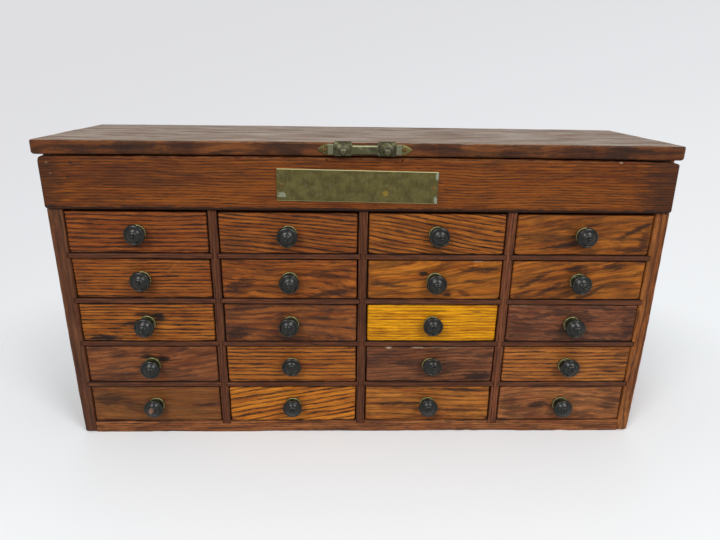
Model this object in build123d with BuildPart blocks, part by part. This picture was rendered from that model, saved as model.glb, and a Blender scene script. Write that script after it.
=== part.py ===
"""Watchmaker's parts cabinet.

A small oak case on a flat base holds twenty drawers, five rows of four, under a shallow lidded
well. A deep apron board closes the front of the well, the lid lifts on two brass butt hinges at
the back, and every drawer slides out on its shelf by a turned knob with a brass collar.

Millimetres. X runs along the front, Y from the front to the back, Z up. The origin is the middle
of the case's footprint, on the surface that the cabinet stands on.
"""

import os
from build123d import *

os.makedirs("parts", exist_ok=True)

# ---------------------------------------------------------------- driving dimensions: case
case_width = 430.0  # over the two side boards
case_depth = 111.0  # from the side boards' front edges to their back edges
columns = 4
rows = 5

side_thickness = 9.5
bottom_thickness = 10.0
back_thickness = 8.0
back_rebate = 5.0  # how far the back board is let into each side board
partition_thickness = 6.4
partition_housing = 3.0  # groove in the bottom board that holds a partition's foot
shelf_thickness = 4.0
shelf_housing = 1.6  # groove in sides and partitions that holds a shelf's end
shelf_setback = 0.3  # shelf and bottom board edges lie this far behind the case's face
opening_height = 30.15  # clear height of a drawer's opening
top_row_headroom = 1.25  # extra height of the openings under the well
well_floor_thickness = 4.0

side_foot_round = 2.5
side_edge_round = 0.8

# ---------------------------------------------------------------- driving dimensions: apron
apron_height = 36.1
apron_thickness = 9.5
apron_proud = 2.5  # how far it stands in front of the case's face
apron_left_lap = 0.7  # how far the left end stands past the side board
apron_right_shrinkage = 0.3  # how far the right end has shrunk back from the side board's face
apron_corner_round = 1.6
apron_top_round = 1.2
apron_foot_round = 2.6
old_nail_hole_radius = 0.6
old_nail_hole_depth = 4.0
old_nail_hole_spacing = 50.5
old_nail_hole_drop = 2.1  # below the apron's top edge

# ---------------------------------------------------------------- driving dimensions: lid
lid_thickness = 9.5
lid_gap = 1.1  # the lid rides this far above the case
lid_front_overhang = 5.0
lid_back_overhang = 4.0
lid_left_overhang = 3.6
lid_right_overhang = 1.0
lid_corner_round = 4.0
lid_top_round = 1.2
lid_foot_round = 1.8

# ---------------------------------------------------------------- driving dimensions: drawers
drawer_side_gap = 0.75
drawer_floor_gap = 0.35
drawer_top_gap = 0.6
drawer_back_gap = 1.7
drawer_seat = 0.35  # the best fitting front lies this far behind the case's face
drawer_seat_step = 0.2  # each poorer fit lies this much deeper
front_thickness = 8.0
front_edge_round = 0.7
front_lap = 3.0  # what the rebates leave in front of the drawer's sides and bottom
drawer_wall = 4.5
drawer_bottom = 2.5
drawer_wall_drop = 1.0  # walls end this far below the front's top edge

# ---------------------------------------------------------------- driving dimensions: knobs
knob_radius = 7.25  # at the rim
knob_projection = 12.4  # from the drawer front to the nib's tip
knob_tenon_radius = 2.5
knob_shoulder_radius = 4.2  # where the knob bears on its collar
knob_neck_hollow = 0.9
knob_rim_reach = 6.8  # from the drawer front to the middle of the rim
knob_rim_thickness = 2.2
knob_rim_round = 0.6
knob_dome_radius = 5.5
knob_dome_reach = 8.5  # from the drawer front to the dome's foot
knob_dome_bulge = 0.55
knob_nib_radius = 1.3
knob_nib_reach = 10.7  # from the drawer front to the nib's foot
collar_radius = 6.1
collar_thickness = 1.6
collar_edge_round = 0.5

# ---------------------------------------------------------------- driving dimensions: brass
nameplate_width = 109.0
nameplate_height = 21.6
nameplate_thickness = 0.7
nameplate_corner_round = 0.8
nameplate_off_centre = -4.4
nameplate_drop = 18.3  # from the apron's top edge to the plate's middle
nameplate_tilt = 0.8  # degrees, the right end hangs low
nameplate_pin_inset = 2.9  # from the plate's ends
pin_head_radius = 1.1
pin_head_height = 0.5
pin_head_round = 0.4
pin_shank_radius = 0.5
pin_length = 5.0

handle_body_length = 40.8  # the raised middle part
handle_body_height = 6.6
handle_waist_height = 5.6
handle_flange_length = 3.8  # flat step between the middle part and a leaf end
handle_flange_height = 6.9
handle_leaf_length = 7.1
handle_leaf_shoulder = (4.4, 2.07)  # a point of its outline, past the step and off the middle line
handle_base_thickness = 0.8
handle_body_thickness = 0.9
handle_rise = 0.65  # the plate's middle above the middle of the lid's edge
boss_radius = 5.8
boss_spacing = 28.7
boss_ring_radii = (4.9, 3.8, 2.7)
boss_ring_height = 0.35
post_radius = 1.5
post_ball_radius = 3.1
post_ball_reach = 9.6  # from the lid's edge to the ball's middle
post_foot_length = 6.0  # what goes into the lid
post_collar_radius = 2.3
post_collar_thickness = 0.7
handle_nail_spacing = 52.4
handle_nail_head_radius = 1.5
handle_nail_head_height = 0.8
handle_nail_head_round = 0.64
handle_nail_radius = 0.6
handle_nail_length = 6.0

hinge_length = 38.0
hinge_spacing = 280.0  # between the two hinges' middles
hinge_leaf_width = 6.0
hinge_leaf_thickness = 1.0
hinge_barrel_radius = 2.0
hinge_pin_radius = 0.9
hinge_middle_knuckle = 13.0
hinge_axis_setback = 1.0  # pin's middle behind the case's back
hinge_pin_cap_length = 0.8
hinge_open_angle = 110.0
screw_head_radius = 1.9
screw_head_height = 0.9
screw_radius = 1.0
screw_length = 7.0
screw_spacing = 12.0

# ---------------------------------------------------------------- clearances
working_gap = 0.3  # between pieces of different bodies
knuckle_gap = 0.2  # between knuckles along the pin
fit_gap = 0.05  # round a pin, tenon, screw or nail in its hole

# ---------------------------------------------------------------- places worked out from these
front_y = -case_depth / 2
back_y = case_depth / 2
inner_back_y = back_y - back_thickness
outer_x = case_width / 2
inner_x = outer_x - side_thickness
bay_width = (2 * inner_x - (columns - 1) * partition_thickness) / columns
bay_pitch = bay_width + partition_thickness
row_pitch = opening_height + shelf_thickness
well_floor_z = bottom_thickness + rows * row_pitch - shelf_thickness + top_row_headroom
case_height = well_floor_z + apron_height
shelf_levels = [bottom_thickness + n * row_pitch - shelf_thickness for n in range(1, rows)]
partition_xs = [(n - columns / 2) * bay_pitch for n in range(1, columns)]
bay_xs = [(n + 0.5 - columns / 2) * bay_pitch for n in range(columns)]

apron_front_y = front_y - apron_proud
apron_back_y = apron_front_y + apron_thickness
apron_left_x = -outer_x - apron_left_lap
apron_right_x = outer_x - apron_right_shrinkage

lid_front_y = front_y - lid_front_overhang
lid_back_y = back_y + lid_back_overhang
lid_z = case_height + lid_gap
lid_left_x = -outer_x - lid_left_overhang
lid_right_x = outer_x + lid_right_overhang

hinge_y = back_y + hinge_axis_setback
hinge_z = case_height + lid_gap / 2
hinge_xs = (-hinge_spacing / 2, hinge_spacing / 2)
barrel_room = hinge_barrel_radius + working_gap
leaf_back_y = hinge_y - barrel_room
leaf_front_y = leaf_back_y - hinge_leaf_width
leaf_middle_y = (leaf_back_y + leaf_front_y) / 2
screw_offsets = (-screw_spacing, 0, screw_spacing)

handle_z = lid_z + lid_thickness / 2 + handle_rise
plate_front_y = lid_front_y - handle_base_thickness
boss_xs = (-boss_spacing / 2, boss_spacing / 2)
handle_nail_xs = (-handle_nail_spacing / 2, handle_nail_spacing / 2)

nameplate_z = case_height - nameplate_drop
nameplate_front_y = apron_front_y - nameplate_thickness
nameplate_plane = Plane(
    origin=(nameplate_off_centre, apron_front_y, nameplate_z),
    x_dir=Vector(1, 0, 0).rotate(Axis.Y, nameplate_tilt),
    z_dir=(0, -1, 0),
)
pin_offsets = (
    -nameplate_width / 2 + nameplate_pin_inset,
    nameplate_width / 2 - nameplate_pin_inset,
)

drawer_width = bay_width - 2 * drawer_side_gap
drawer_height = opening_height - drawer_floor_gap - drawer_top_gap
drawer_length = inner_back_y - front_y - drawer_seat - drawer_back_gap
wall_height = drawer_height - drawer_bottom - drawer_wall_drop


def block(low, high, mode=Mode.ADD):
    """A box from its low corner to its high corner, in the part being built."""
    middle = tuple((a + b) / 2 for a, b in zip(low, high))
    with Locations(middle):
        Box(*[b - a for a, b in zip(low, high)], mode=mode)


def hole_along_y(x, z, mouth_y, radius, depth):
    """A blind round hole that runs back from mouth_y."""
    with BuildSketch(Plane(origin=(x, mouth_y, z), z_dir=(0, 1, 0))) as mouth:
        Circle(radius)
    extrude(mouth.sketch, amount=depth, mode=Mode.SUBTRACT)


def rod_along_y(x, z, start_y, end_y, radius):
    """A round rod from start_y back to end_y."""
    with BuildSketch(Plane(origin=(x, start_y, z), z_dir=(0, 1, 0))) as end:
        Circle(radius)
    extrude(end.sketch, amount=end_y - start_y)


def write(shape, name):
    """Labels a finished piece and writes its STEP file."""
    shape.label = name
    export_step(shape, f"parts/{name}.step")


def write_group(pieces, name):
    """Writes several separate solids as one node."""
    for piece in pieces:
        piece.label = name
    write(Compound(children=pieces), name)


# ---------------------------------------------------------------- side boards
for name, hand in (("side_left", -1), ("side_right", 1)):
    with BuildPart() as side:
        with BuildSketch(Plane.YZ.offset(hand * (outer_x + inner_x) / 2)):
            with BuildLine():
                Polyline(
                    (front_y, 0),
                    (back_y, 0),
                    (back_y, case_height),
                    (apron_back_y, case_height),
                    (apron_back_y, well_floor_z),
                    (front_y, well_floor_z),
                    close=True,
                )
            make_face()
        extrude(amount=side_thickness / 2, both=True)
        outer_face = side.faces().filter_by(Axis.X).sort_by(Axis.X)[0 if hand < 0 else -1]
        outer_edges = outer_face.edges()
        fillet(outer_edges.filter_by(Axis.Z).sort_by(Axis.Y)[0], side_edge_round)
        outer_face = side.faces().filter_by(Axis.X).sort_by(Axis.X)[0 if hand < 0 else -1]
        fillet(outer_face.edges().filter_by(Axis.Y).sort_by(Axis.Z)[0], side_foot_round)
        groove_xs = sorted((hand * inner_x, hand * (inner_x + shelf_housing)))
        for level in shelf_levels:
            block(
                (groove_xs[0], front_y, level),
                (groove_xs[1], inner_back_y, level + shelf_thickness),
                Mode.SUBTRACT,
            )
        block(
            (groove_xs[0], apron_back_y, well_floor_z),
            (groove_xs[1], inner_back_y, well_floor_z + well_floor_thickness),
            Mode.SUBTRACT,
        )
        rebate_xs = sorted((hand * inner_x, hand * (inner_x + back_rebate)))
        block((rebate_xs[0], inner_back_y, 0), (rebate_xs[1], back_y, case_height), Mode.SUBTRACT)
    write(side.part, name)

# ---------------------------------------------------------------- bottom board
with BuildPart() as bottom_board:
    block((-inner_x, front_y + shelf_setback, 0), (inner_x, inner_back_y, bottom_thickness))
    for x in partition_xs:
        block(
            (x - partition_thickness / 2, front_y, bottom_thickness - partition_housing),
            (x + partition_thickness / 2, inner_back_y, bottom_thickness),
            Mode.SUBTRACT,
        )
write(bottom_board.part, "bottom_board")

# ---------------------------------------------------------------- partitions
for name, x in zip(("partition_left", "partition_middle", "partition_right"), partition_xs):
    with BuildPart() as partition:
        block(
            (x - partition_thickness / 2, front_y + shelf_setback, bottom_thickness - partition_housing),
            (x + partition_thickness / 2, inner_back_y, well_floor_z),
        )
        for level in shelf_levels:
            for hand in (-1, 1):
                face_x = x + hand * partition_thickness / 2
                groove_xs = sorted((face_x, face_x - hand * shelf_housing))
                block(
                    (groove_xs[0], front_y, level),
                    (groove_xs[1], inner_back_y, level + shelf_thickness),
                    Mode.SUBTRACT,
                )
    write(partition.part, name)

# ---------------------------------------------------------------- shelves between the rows
shelves = []
for level in shelf_levels:
    for x in bay_xs:
        with BuildPart() as shelf:
            half = bay_width / 2 + shelf_housing
            block(
                (x - half, front_y + shelf_setback, level),
                (x + half, inner_back_y, level + shelf_thickness),
            )
        shelves.append(shelf.part)
write_group(shelves, "drawer_shelves")

# ---------------------------------------------------------------- floor of the well
with BuildPart() as well_floor:
    half = inner_x + shelf_housing
    block(
        (-half, apron_back_y, well_floor_z),
        (half, inner_back_y, well_floor_z + well_floor_thickness),
    )
write(well_floor.part, "well_floor")

# ---------------------------------------------------------------- back board
with BuildPart() as back_panel:
    half = inner_x + back_rebate
    block((-half, inner_back_y, 0), (half, back_y, case_height))
    for x in hinge_xs:
        block(
            (x - hinge_length / 2, leaf_front_y, case_height - hinge_leaf_thickness),
            (x + hinge_length / 2, back_y, case_height),
            Mode.SUBTRACT,
        )
        block(
            (x - hinge_length / 2 - hinge_pin_cap_length, leaf_back_y, hinge_z - barrel_room),
            (x + hinge_length / 2 + hinge_pin_cap_length, back_y, case_height),
            Mode.SUBTRACT,
        )
        with Locations(*[(x + dx, leaf_middle_y, case_height) for dx in screw_offsets]):
            Hole(screw_radius + fit_gap, depth=screw_length + working_gap)
write(back_panel.part, "back_panel")

# ---------------------------------------------------------------- apron
with BuildPart() as apron:
    block(
        (apron_left_x, apron_front_y, well_floor_z),
        (apron_right_x, apron_back_y, case_height),
    )
    top_corners = apron.edges().filter_by(Axis.Y).group_by(Axis.Z)[-1]
    fillet(top_corners, apron_corner_round)
    front_edges = apron.faces().filter_by(Axis.Y).sort_by(Axis.Y)[0].edges()
    foot_edge = front_edges.filter_by(Axis.X).sort_by(Axis.Z)[0]
    fillet(front_edges - ShapeList([foot_edge]), apron_top_round)
    front_edges = apron.faces().filter_by(Axis.Y).sort_by(Axis.Y)[0].edges()
    fillet(front_edges.filter_by(Axis.X).sort_by(Axis.Z)[0], apron_foot_round)
    for x in (-old_nail_hole_spacing / 2, old_nail_hole_spacing / 2):
        hole_along_y(
            x, case_height - old_nail_hole_drop, apron_front_y, old_nail_hole_radius, old_nail_hole_depth
        )
    with BuildSketch(nameplate_plane):
        with Locations(*[(dx, 0) for dx in pin_offsets]):
            Circle(pin_shank_radius + fit_gap)
    extrude(amount=-(pin_length + working_gap), mode=Mode.SUBTRACT)
write(apron.part, "apron")

# ---------------------------------------------------------------- nameplate and its pins
with BuildPart() as nameplate:
    with BuildSketch(nameplate_plane):
        RectangleRounded(nameplate_width, nameplate_height, nameplate_corner_round)
        with Locations(*[(dx, 0) for dx in pin_offsets]):
            Circle(pin_shank_radius + fit_gap, mode=Mode.SUBTRACT)
    extrude(amount=nameplate_thickness)
write(nameplate.part, "nameplate")

nameplate_pins = []
for dx in pin_offsets:
    with BuildPart() as pin:
        with BuildSketch(nameplate_plane.offset(nameplate_thickness)):
            with Locations((dx, 0)):
                Circle(pin_head_radius)
        extrude(amount=pin_head_height)
        fillet(pin.edges().sort_by(Axis.Y)[0], pin_head_round)
        with BuildSketch(nameplate_plane.offset(nameplate_thickness)):
            with Locations((dx, 0)):
                Circle(pin_shank_radius)
        extrude(amount=-(pin_length + nameplate_thickness))
    nameplate_pins.append(pin.part)
write_group(nameplate_pins, "nameplate_pins")

# ---------------------------------------------------------------- lid
with BuildPart() as lid:
    block(
        (lid_left_x, lid_front_y, lid_z),
        (lid_right_x, lid_back_y, lid_z + lid_thickness),
    )
    fillet(lid.edges().filter_by(Axis.Z), lid_corner_round)
    fillet(lid.faces().sort_by(Axis.Z)[-1].edges(), lid_top_round)
    fillet(lid.faces().sort_by(Axis.Z)[0].edges(), lid_foot_round)
    for x in hinge_xs:
        block(
            (x - hinge_length / 2, leaf_front_y, lid_z),
            (x + hinge_length / 2, leaf_back_y, lid_z + hinge_leaf_thickness),
            Mode.SUBTRACT,
        )
        block(
            (x - hinge_length / 2 - hinge_pin_cap_length - working_gap, leaf_back_y, lid_z),
            (x + hinge_length / 2 + hinge_pin_cap_length + working_gap, lid_back_y, hinge_z + barrel_room),
            Mode.SUBTRACT,
        )
        for dx in screw_offsets:
            with BuildSketch(Plane.XY.offset(lid_z)):
                with Locations((x + dx, leaf_middle_y)):
                    Circle(screw_radius + fit_gap)
            extrude(amount=screw_length + working_gap, mode=Mode.SUBTRACT)
    for x in boss_xs:
        hole_along_y(x, handle_z, lid_front_y, post_radius + fit_gap, post_foot_length + working_gap)
    for x in handle_nail_xs:
        hole_along_y(
            x, handle_z, lid_front_y, handle_nail_radius + fit_gap, handle_nail_length + working_gap
        )
write(lid.part, "lid")

# ---------------------------------------------------------------- hinges
outer_knuckle = (hinge_length - hinge_middle_knuckle) / 2 - knuckle_gap
outer_knuckle_offset = (hinge_length - outer_knuckle) / 2


def hinge_half(x, leaf_z, knuckles):
    """One leaf with its knuckles, given as (offset along the pin, length)."""
    with BuildPart() as half:
        block(
            (x - hinge_length / 2, leaf_front_y, leaf_z),
            (x + hinge_length / 2, leaf_back_y, leaf_z + hinge_leaf_thickness),
        )
        for offset, length in knuckles:
            block(
                (x + offset - length / 2, leaf_back_y, leaf_z),
                (x + offset + length / 2, hinge_y, leaf_z + hinge_leaf_thickness),
            )
            with BuildSketch(Plane.YZ.offset(x + offset)):
                with Locations((hinge_y, hinge_z)):
                    Circle(hinge_barrel_radius)
            extrude(amount=length / 2, both=True)
        for offset, length in knuckles:
            with BuildSketch(Plane.YZ.offset(x + offset)):
                with Locations((hinge_y, hinge_z)):
                    Circle(hinge_pin_radius + fit_gap)
            extrude(amount=length / 2, both=True, mode=Mode.SUBTRACT)
    return half.part


def screw_plane(x, top_z, way):
    """The plane of a screw head's face; way is 1 for a screw driven up and -1 for one driven down."""
    return Plane(origin=(x, leaf_middle_y, top_z), x_dir=(1, 0, 0), z_dir=(0, 0, way))


def countersink(plane, spare):
    """Cuts a screw's seat through a leaf, or makes its head where spare is 0."""
    with BuildSketch(plane) as face:
        Circle(screw_head_radius + spare)
    with BuildSketch(plane.offset(screw_head_height)) as foot:
        Circle(screw_radius + spare)
    loft([face.sketch, foot.sketch], mode=Mode.SUBTRACT if spare else Mode.ADD)


case_halves, lid_halves, case_screws, lid_screws = [], [], [], []
for x in hinge_xs:
    case_knuckles = [(-outer_knuckle_offset, outer_knuckle), (outer_knuckle_offset, outer_knuckle)]
    sides_of_hinge = (
        (case_height, case_height - hinge_leaf_thickness, case_knuckles, -1, case_halves, case_screws),
        (lid_z, lid_z, [(0, hinge_middle_knuckle)], 1, lid_halves, lid_screws),
    )
    for face_z, leaf_z, knuckles, way, halves, screws in sides_of_hinge:
        with BuildPart() as leaf:
            add(hinge_half(x, leaf_z, knuckles))
            for dx in screw_offsets:
                plane = screw_plane(x + dx, face_z, way)
                countersink(plane, fit_gap)
                with BuildSketch(plane):
                    Circle(screw_radius + fit_gap)
                extrude(amount=hinge_leaf_thickness, mode=Mode.SUBTRACT)
        halves.append(leaf.part)
        for dx in screw_offsets:
            plane = screw_plane(x + dx, face_z, way)
            with BuildPart() as screw:
                countersink(plane, 0)
                with BuildSketch(plane.offset(screw_head_height)):
                    Circle(screw_radius)
                extrude(amount=screw_length - screw_head_height)
            screws.append(screw.part)
    with BuildPart() as pin:
        with BuildSketch(Plane.YZ.offset(x)):
            with Locations((hinge_y, hinge_z)):
                Circle(hinge_pin_radius)
        extrude(amount=hinge_length / 2, both=True)
        for hand in (-1, 1):
            with BuildSketch(Plane.YZ.offset(x + hand * hinge_length / 2)):
                with Locations((hinge_y, hinge_z)):
                    Circle(hinge_barrel_radius - knuckle_gap)
            extrude(amount=hand * hinge_pin_cap_length)
    case_halves.append(pin.part)
write_group(case_halves, "hinge_case_halves")
write_group(lid_halves, "hinge_lid_halves")
write_group(case_screws, "hinge_screws_case")
write_group(lid_screws, "hinge_screws_lid")

# ---------------------------------------------------------------- handle plate on the lid's edge
body_half = handle_body_length / 2
flange_half = body_half + handle_flange_length
leaf_tip = flange_half + handle_leaf_length
with BuildPart() as handle_plate:
    with BuildSketch(Plane(origin=(0, lid_front_y, handle_z), x_dir=(1, 0, 0), z_dir=(0, -1, 0))):
        Rectangle(2 * flange_half, handle_flange_height)
        for hand in (-1, 1):
            with BuildLine():
                for up in (-1, 1):
                    ThreePointArc(
                        (hand * flange_half, up * handle_flange_height / 2),
                        (hand * (flange_half + handle_leaf_shoulder[0]), up * handle_leaf_shoulder[1]),
                        (hand * leaf_tip, 0),
                    )
                Line(
                    (hand * flange_half, -handle_flange_height / 2),
                    (hand * flange_half, handle_flange_height / 2),
                )
            make_face()
    extrude(amount=handle_base_thickness)
    with BuildSketch(Plane(origin=(0, plate_front_y, handle_z), x_dir=(1, 0, 0), z_dir=(0, -1, 0))):
        with BuildLine():
            for up in (-1, 1):
                ThreePointArc(
                    (-body_half, up * handle_body_height / 2),
                    (0, up * handle_waist_height / 2),
                    (body_half, up * handle_body_height / 2),
                )
            for hand in (-1, 1):
                Line(
                    (hand * body_half, -handle_body_height / 2),
                    (hand * body_half, handle_body_height / 2),
                )
        make_face()
    extrude(amount=handle_body_thickness)
    for x in boss_xs:
        rod_along_y(x, handle_z, plate_front_y - handle_body_thickness, lid_front_y, boss_radius)
        for number, radius in enumerate(boss_ring_radii, start=1):
            ring_front_y = plate_front_y - handle_body_thickness - number * boss_ring_height
            rod_along_y(x, handle_z, ring_front_y, plate_front_y, radius)
    boss_front_y = plate_front_y - handle_body_thickness - len(boss_ring_radii) * boss_ring_height
    for x in boss_xs:
        hole_along_y(x, handle_z, boss_front_y, post_radius + fit_gap, lid_front_y - boss_front_y)
    for x in handle_nail_xs:
        hole_along_y(x, handle_z, plate_front_y, handle_nail_radius + fit_gap, handle_base_thickness)
write(handle_plate.part, "handle_plate")

handle_posts = []
for x in boss_xs:
    with BuildPart() as post:
        ball_y = lid_front_y - post_ball_reach
        rod_along_y(x, handle_z, ball_y, lid_front_y + post_foot_length, post_radius)
        rod_along_y(x, handle_z, boss_front_y - post_collar_thickness, boss_front_y, post_collar_radius)
        with Locations((x, ball_y, handle_z)):
            Sphere(post_ball_radius)
    handle_posts.append(post.part)
write_group(handle_posts, "handle_posts")

handle_nails = []
for x in handle_nail_xs:
    with BuildPart() as nail:
        rod_along_y(x, handle_z, plate_front_y, lid_front_y + handle_nail_length, handle_nail_radius)
        head_y = plate_front_y - handle_nail_head_height
        rod_along_y(x, handle_z, head_y, plate_front_y, handle_nail_head_radius)
        fillet(nail.edges().sort_by(Axis.Y)[0], handle_nail_head_round)
    handle_nails.append(nail.part)
write_group(handle_nails, "handle_nails")

# ---------------------------------------------------------------- drawer pieces, at the origin
# A drawer's own origin is the middle of its front face's bottom edge.
with BuildPart() as drawer_front:
    block((-drawer_width / 2, 0, 0), (drawer_width / 2, front_thickness, drawer_height))
    fillet(drawer_front.faces().sort_by(Axis.Y)[0].edges(), front_edge_round)
    for hand in (-1, 1):
        rebate_xs = sorted((hand * drawer_width / 2, hand * (drawer_width / 2 - drawer_wall)))
        block((rebate_xs[0], front_lap, 0), (rebate_xs[1], front_thickness, drawer_height), Mode.SUBTRACT)
    block(
        (-drawer_width / 2, front_lap, 0),
        (drawer_width / 2, front_thickness, drawer_bottom),
        Mode.SUBTRACT,
    )
    hole_along_y(0, drawer_height / 2, 0, knob_tenon_radius + fit_gap, front_thickness)

with BuildPart() as drawer_side:
    block(
        (0, front_lap, drawer_bottom),
        (drawer_wall, drawer_length, drawer_bottom + wall_height),
    )

with BuildPart() as drawer_back:
    half = drawer_width / 2 - drawer_wall
    block(
        (-half, drawer_length - drawer_wall, drawer_bottom),
        (half, drawer_length, drawer_bottom + wall_height),
    )

with BuildPart() as drawer_floor:
    block((-drawer_width / 2, front_lap, 0), (drawer_width / 2, drawer_length, drawer_bottom))

# ---------------------------------------------------------------- knob, turned about Y
rim_back = (knob_radius - knob_rim_round, -knob_rim_reach + knob_rim_thickness / 2)
rim_front = (knob_radius - knob_rim_round, -knob_rim_reach - knob_rim_thickness / 2)
dome_foot = (knob_dome_radius, -knob_dome_reach)
nib_foot = (knob_nib_radius, -knob_nib_reach)
nib_middle_y = knob_nib_radius - knob_projection
with BuildPart() as knob_head:
    with BuildSketch(Plane.XY):
        with BuildLine():
            Polyline(
                (0, front_thickness),
                (knob_tenon_radius, front_thickness),
                (knob_tenon_radius, -collar_thickness),
                (knob_shoulder_radius, -collar_thickness),
            )
            SagittaArc((knob_shoulder_radius, -collar_thickness), rim_back, -knob_neck_hollow)
            SagittaArc(rim_back, rim_front, knob_rim_round)
            Line(rim_front, dome_foot)
            SagittaArc(dome_foot, nib_foot, knob_dome_bulge)
            Line(nib_foot, (knob_nib_radius, nib_middle_y))
            CenterArc((0, nib_middle_y), knob_nib_radius, -90, 90)
            Line((0, -knob_projection), (0, front_thickness))
        make_face()
    revolve(axis=Axis.Y)

with BuildPart() as knob_collar:
    rod_along_y(0, 0, -collar_thickness, 0, collar_radius)
    fillet(knob_collar.edges().filter_by(GeomType.CIRCLE).sort_by(Axis.Y)[0], collar_edge_round)
    hole_along_y(0, 0, -collar_thickness, knob_tenon_radius + fit_gap, collar_thickness)

# ---------------------------------------------------------------- the twenty drawers and knobs
for row in range(1, rows + 1):
    for column in range(1, columns + 1):
        floor_z = bottom_thickness + (rows - row) * row_pitch + drawer_floor_gap
        seat = drawer_seat + drawer_seat_step * ((2 * row + 3 * column) % 4)
        spot = Location((bay_xs[column - 1], front_y + seat, floor_z))
        wall_offset = drawer_width / 2 - drawer_wall
        left_wall = Location((-drawer_width / 2, 0, 0))
        right_wall = Location((wall_offset, 0, 0))
        pieces = [
            drawer_front.part.moved(spot),
            drawer_side.part.moved(spot * left_wall),
            drawer_side.part.moved(spot * right_wall),
            drawer_back.part.moved(spot),
            drawer_floor.part.moved(spot),
        ]
        write_group(pieces, f"drawer_r{row}c{column}")
        knob_spot = spot * Location((0, 0, drawer_height / 2))
        knob_pieces = [knob_head.part.moved(knob_spot), knob_collar.part.moved(knob_spot)]
        write_group(knob_pieces, f"knob_r{row}c{column}")

print("case", case_width, case_depth, round(case_height, 2), "lid top", round(lid_z + lid_thickness, 2))
print("drawer", round(drawer_width, 2), round(drawer_length, 2), round(drawer_height, 2))
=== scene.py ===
"""Watchmaker's parts cabinet: worn oak, ebonised knobs and tarnished brass.

Twenty oak drawers, five rows of four, under a shallow lidded well. No two drawer fronts were cut
from the same board, so each has a figure of its own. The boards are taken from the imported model
and then weathered: their edges are rubbed away unevenly and chipped where hands and tools met
them.

Metres, in the part's own frame: X along the front, Y towards the back, Z up. The shaders work in
millimetres.
"""

import math
from collections import namedtuple

import bmesh
import bpy
from bpy.props import FloatProperty, FloatVectorProperty, IntProperty, PointerProperty
from mathutils import Matrix, Vector, noise


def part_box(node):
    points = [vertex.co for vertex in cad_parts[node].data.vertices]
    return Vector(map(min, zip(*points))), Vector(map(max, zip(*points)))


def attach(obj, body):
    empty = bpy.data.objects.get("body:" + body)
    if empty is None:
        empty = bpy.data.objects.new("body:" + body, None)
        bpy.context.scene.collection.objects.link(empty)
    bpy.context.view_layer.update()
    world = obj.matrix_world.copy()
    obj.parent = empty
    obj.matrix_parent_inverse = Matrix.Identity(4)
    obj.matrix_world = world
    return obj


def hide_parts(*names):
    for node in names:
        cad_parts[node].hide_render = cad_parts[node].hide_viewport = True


bl_info = {
    "name": "Watchmaker's Parts Cabinet",
    "version": (1, 0, 0),
    "blender": (4, 5, 0),
    "location": "View3D > Sidebar > Cabinet",
    "description": "Weathers the boards and finishes the brass of an old oak parts cabinet",
    "category": "Object",
}

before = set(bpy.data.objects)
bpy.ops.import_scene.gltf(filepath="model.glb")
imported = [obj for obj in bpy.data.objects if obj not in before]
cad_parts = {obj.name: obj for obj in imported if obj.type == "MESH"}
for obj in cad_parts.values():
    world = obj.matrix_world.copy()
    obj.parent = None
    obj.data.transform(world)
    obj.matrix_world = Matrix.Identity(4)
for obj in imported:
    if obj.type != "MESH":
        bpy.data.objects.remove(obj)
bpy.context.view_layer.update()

MM = 0.001
ROWS, COLUMNS = 5, 4
DRAWERS = [f"r{row}c{column}" for row in range(1, ROWS + 1) for column in range(1, COLUMNS + 1)]


def tone(red, green, blue):
    """A display colour, 0 to 255, as the linear colour that the shaders take."""
    return tuple(
        c / 12.92 if c <= 0.04045 else ((c + 0.055) / 1.055) ** 2.4
        for c in (red / 255, green / 255, blue / 255)
    )


# ------------------------------------------------------------------ what a user may change


def colour_setting(name, description, *display):
    """A colour that a user may change."""
    return FloatVectorProperty(
        name=name, description=description, subtype="COLOR", default=tone(*display), min=0, max=1
    )


def length_setting(name, description, millimetres, least=0.0):
    """A length that a user may change, given in millimetres."""
    return FloatProperty(
        name=name,
        description=description,
        unit="LENGTH",
        subtype="DISTANCE",
        default=millimetres * MM,
        min=least * MM,
        precision=5,
    )


class CabinetWood(bpy.types.PropertyGroup):
    """The stain, varnish and relief of the oak."""

    # The grime colour also paints shade: along board edges beside the gaps, on the apron's foot and below the knobs.
    grime: colour_setting("Grime", "Colour of the dirt in corners, pores and round the knobs", 34, 24, 20)
    bare: colour_setting("Bare oak", "Colour of the wood where the stain is rubbed off an edge", 150, 100, 58)
    roughness: FloatProperty(
        name="Varnish roughness",
        description="Roughness of the old varnish between the pores",
        subtype="FACTOR",
        default=0.38,
        min=0,
        max=1,
    )
    gloss: FloatProperty(
        name="Varnish gloss",
        description="Refractive index of the thin old varnish",
        default=1.22,
        min=1,
        max=2,
    )
    relief: length_setting("Grain relief", "Depth of the open grain", 0.14)


class CabinetWear(bpy.types.PropertyGroup):
    """How unevenly use has rounded the boards."""

    arris: length_setting("Arris", "Width of the round on an edge that was left sharp", 0.45)
    rub: length_setting("Rub", "How deep an edge is rubbed away where it is worn most", 0.5)
    reach: length_setting("Reach", "How far from an edge the rubbing fades", 1.1, 0.1)
    plane_marks: length_setting("Plane marks", "How far the hand-planed faces wander", 0.08)


class CabinetMetal(bpy.types.PropertyGroup):
    """The brass, the knobs and how they were turned."""

    brass: colour_setting("Brass", "Colour of the tarnished nameplate", 97, 89, 49)
    bronze: colour_setting("Bronze", "Colour of the greener handle plate and collars", 82, 80, 54)
    verdigris: colour_setting("Verdigris", "Colour of the pale bloom on the brass", 150, 152, 128)
    ebony: colour_setting("Ebonised wood", "Colour of the blackened knobs", 14, 16, 13)
    turns: IntProperty(
        name="Facets",
        description="Facets round a turned piece",
        default=64,
        min=12,
        max=256,
    )


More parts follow.
